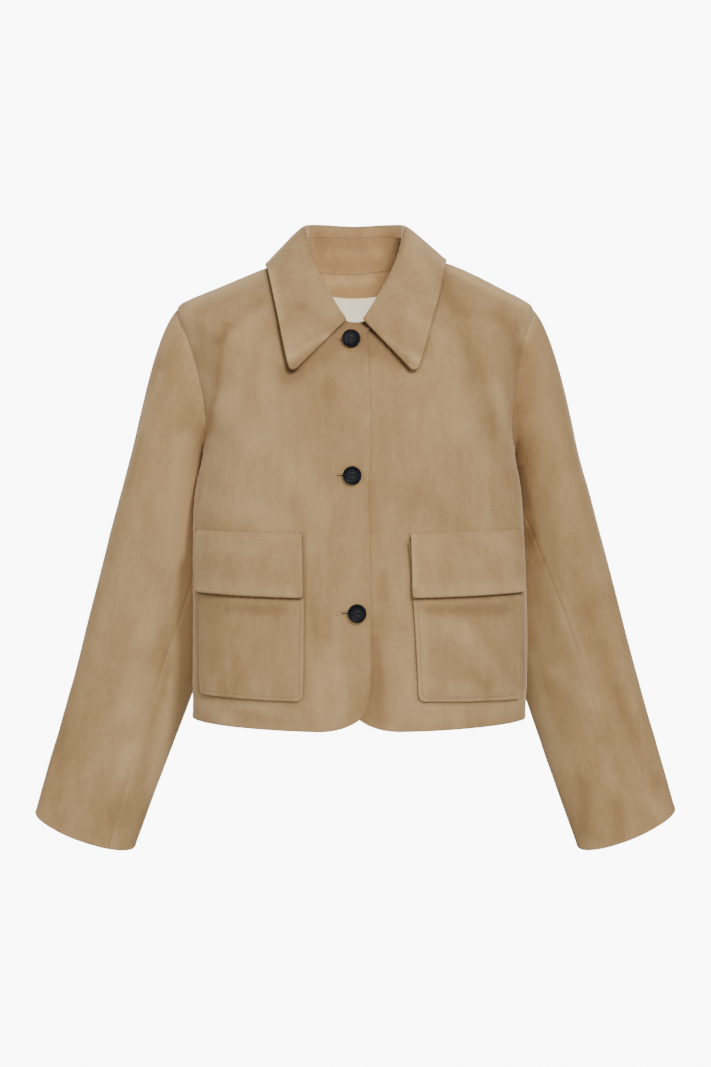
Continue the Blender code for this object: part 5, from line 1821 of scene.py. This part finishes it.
def button_sewing():
    """The strands of thread over a button's face, from hole to hole, and its shank of thread behind."""
    parts = [turned("shank", SHANK_SIDES, SHANK_RINGS)]
    floor = sizes().button_height / MM * BUTTON_RINGS[-1][1]
    for side in (-1, 1):
        for strand in (-1, 0, 1):
            deselect()
            aside = side * HOLES_APART / 2 + strand * STRANDS_APART
            bpy.ops.mesh.primitive_torus_add(
                major_segments=STRAND_SIDES[0],
                minor_segments=STRAND_SIDES[1],
                major_radius=HOLES_APART / 2 * MM,
                minor_radius=STRAND * MM,
                rotation=(math.radians(90.0), 0.0, 0.0),
                location=(0.0, aside * MM, (floor - STRAND_SUNK) * MM),
            )
            loop = bpy.context.object
            loop.scale = (1.0, STRAND_FLAT, 1.0)
            parts.append(loop)
    deselect()
    for part in parts:
        part.select_set(True)
    bpy.context.view_layer.objects.active = parts[0]
    bpy.ops.object.join()
    bpy.ops.object.transform_apply(location=True, rotation=True, scale=True)
    bpy.ops.object.shade_smooth()
    return parts[0]


def button_seat(across, height):
    """Where a button sits on the right front, and how it turns with it."""
    level = level_at(front_line, height)
    along = share_at(front_line, across, level)
    on_cloth, _ = torso(front_line, along, level, LAYER + BUTTON_OFF)
    outward = unit(torso(front_line, along, level, 10.0)[0] - torso(front_line, along, level, 0.0)[0])
    tilt = math.atan2(-outward[1], outward[2])
    hang = (math.radians(90.0) - tilt) * BUTTON_HANG
    lift = Vector(outward) * math.sin(abs(hang)) * sizes().button_width / 2 * BUTTON_CLEAR
    return Matrix.Translation(Vector(on_cloth * MM) + lift) @ Matrix.Rotation(tilt + hang, 4, "X")


class JACKET_OT_buttons(bpy.types.Operator):
    """Turn the buttons, bore their holes and sew them on."""

    bl_idname = "jacket.buttons"
    bl_label = "Buttons"

    def execute(self, context):
        tones = colours()
        finish = button_finish(tuple(tones.button), tuple(tones.button_light))
        thread = thread_finish("thread_navy", tuple(tones.button_thread))
        button, sewing = button_model(), button_sewing()
        for i, (across, height) in enumerate(zip(BUTTONS["across"], BUTTONS["height"])):
            seat = button_seat(across, height)
            for name, model, material in (("button", button, finish), ("button_thread", sewing, thread)):
                mesh = model.data.copy()
                mesh.transform(seat)
                copy = bpy.data.objects.new(f"{name}_{i + 1}_dressed", mesh)
                context.scene.collection.objects.link(copy)
                dress(copy, material)
                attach(copy, BODY)
                if model is button:
                    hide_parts(f"button_{i + 1}")
        scrap(button)
        scrap(sewing)
        return {"FINISHED"}


FLOOR_LEVEL, FLOOR_REACH = -1.3, 30.0
SENSOR = 36.0
FRAME_ROWS, ROW_HIGH = 1067, 1.145  # rows of the picture, and the height of one at the jacket
BODY_AIM, LINING_AIM = (0.0, 0.0, -0.3), (0.0, 0.07, -0.04)  # where the lights point


class JACKET_OT_stage(bpy.types.Operator):
    """Set up the floor, the camera and the soft studio lights."""

    bl_idname = "jacket.stage"
    bl_label = "Stage"

    def execute(self, context):
        stage = context.scene.jacket_stage
        deselect()
        below = (0.0, 0.0, FLOOR_LEVEL)
        bpy.ops.mesh.primitive_circle_add(vertices=96, radius=FLOOR_REACH, fill_type="NGON", location=below)
        floor = context.object
        floor.name = "floor"
        paint = Paint("floor_pale", roughness=1.0, specular_ior_level=0.0)
        paint.shader.inputs["Emission Color"].default_value = tuple(stage.floor)
        paint.shader.inputs["Emission Strength"].default_value = stage.paper
        floor.data.materials.append(paint.finish((0.0, 0.0, 0.0, 1.0)))
        floor.visible_diffuse = floor.visible_glossy = floor.visible_shadow = False
        camera = bpy.data.objects.new("camera", bpy.data.cameras.new("camera"))
        context.scene.collection.objects.link(camera)
        camera.location = (0.0, -stage.distance, stage.eye)
        camera.rotation_euler = (math.radians(90.0), 0.0, 0.0)
        camera.data.sensor_width = SENSOR
        camera.data.lens = SENSOR * stage.distance / (FRAME_ROWS * ROW_HIGH * MM)
        context.scene.camera = camera
        for name, place, aim, power, size in (
            ("key", (1.66, -4.56, 2.5), BODY_AIM, stage.key, 0.7),
            ("front", (0.0, -5.58, 0.19), BODY_AIM, stage.front, 1.0),
            ("fill", (-3.9, -3.9, 0.67), BODY_AIM, stage.fill, 1.5),
            ("back", (0.6, 2.8, 2.2), BODY_AIM, stage.back, 2.0),
            ("under", (0.0, -0.055, -0.17), LINING_AIM, stage.lining, 0.12),
        ):
            light = bpy.data.objects.new(name, bpy.data.lights.new(name, "AREA"))
            context.scene.collection.objects.link(light)
            light.data.energy, light.data.size = power, size
            light.location = place
            light.rotation_euler = (Vector(aim) - Vector(place)).to_track_quat("-Z", "Y").to_euler()
            light.visible_camera = name != "under"
        world = bpy.data.worlds.new("studio")
        world.use_nodes = True
        tree = world.node_tree
        around = tree.nodes["Background"]
        around.inputs["Strength"].default_value = stage.around
        paper = tree.nodes.new("ShaderNodeBackground")
        paper.inputs["Strength"].default_value = stage.paper
        for backdrop in (around, paper):
            backdrop.inputs["Color"].default_value = (1.0, 1.0, 1.0, 1.0)
        ray = tree.nodes.new("ShaderNodeLightPath")
        either = tree.nodes.new("ShaderNodeMixShader")
        tree.links.new(ray.outputs["Is Camera Ray"], either.inputs[0])
        tree.links.new(around.outputs[0], either.inputs[1])
        tree.links.new(paper.outputs[0], either.inputs[2])
        tree.links.new(either.outputs[0], tree.nodes["World Output"].inputs["Surface"])
        context.scene.world = world
        return {"FINISHED"}


STEPS = (
    JACKET_OT_fronts,
    JACKET_OT_back,
    JACKET_OT_sleeves,
    JACKET_OT_collar,
    JACKET_OT_inside,
    JACKET_OT_pockets,
    JACKET_OT_buttons,
    JACKET_OT_stage,
)
GROUPS = (("jacket_sizes", JacketSizes), ("jacket_colours", JacketColours), ("jacket_stage", JacketStage))


class JACKET_PT_panel(bpy.types.Panel):
    """The steps of the jacket, in the order of making."""

    bl_label = "Jacket"
    bl_idname = "JACKET_PT_panel"
    bl_space_type = "VIEW_3D"
    bl_region_type = "UI"
    bl_category = "Jacket"

    def draw(self, context):
        for name, group in GROUPS:
            for label in group.__annotations__:
                self.layout.prop(getattr(context.scene, name), label)
        for step in STEPS:
            self.layout.operator(step.bl_idname)


def register():
    for name, group in GROUPS:
        bpy.utils.register_class(group)
        setattr(bpy.types.Scene, name, bpy.props.PointerProperty(type=group))
    for step in STEPS + (JACKET_PT_panel,):
        bpy.utils.register_class(step)


def unregister():
    for step in STEPS + (JACKET_PT_panel,):
        bpy.utils.unregister_class(step)
    for name, group in GROUPS:
        delattr(bpy.types.Scene, name)
        bpy.utils.unregister_class(group)


def main():
    register()
    for step in STEPS:
        group, name = step.bl_idname.split(".")
        getattr(getattr(bpy.ops, group), name)()


if __name__ == "__main__":
    main()
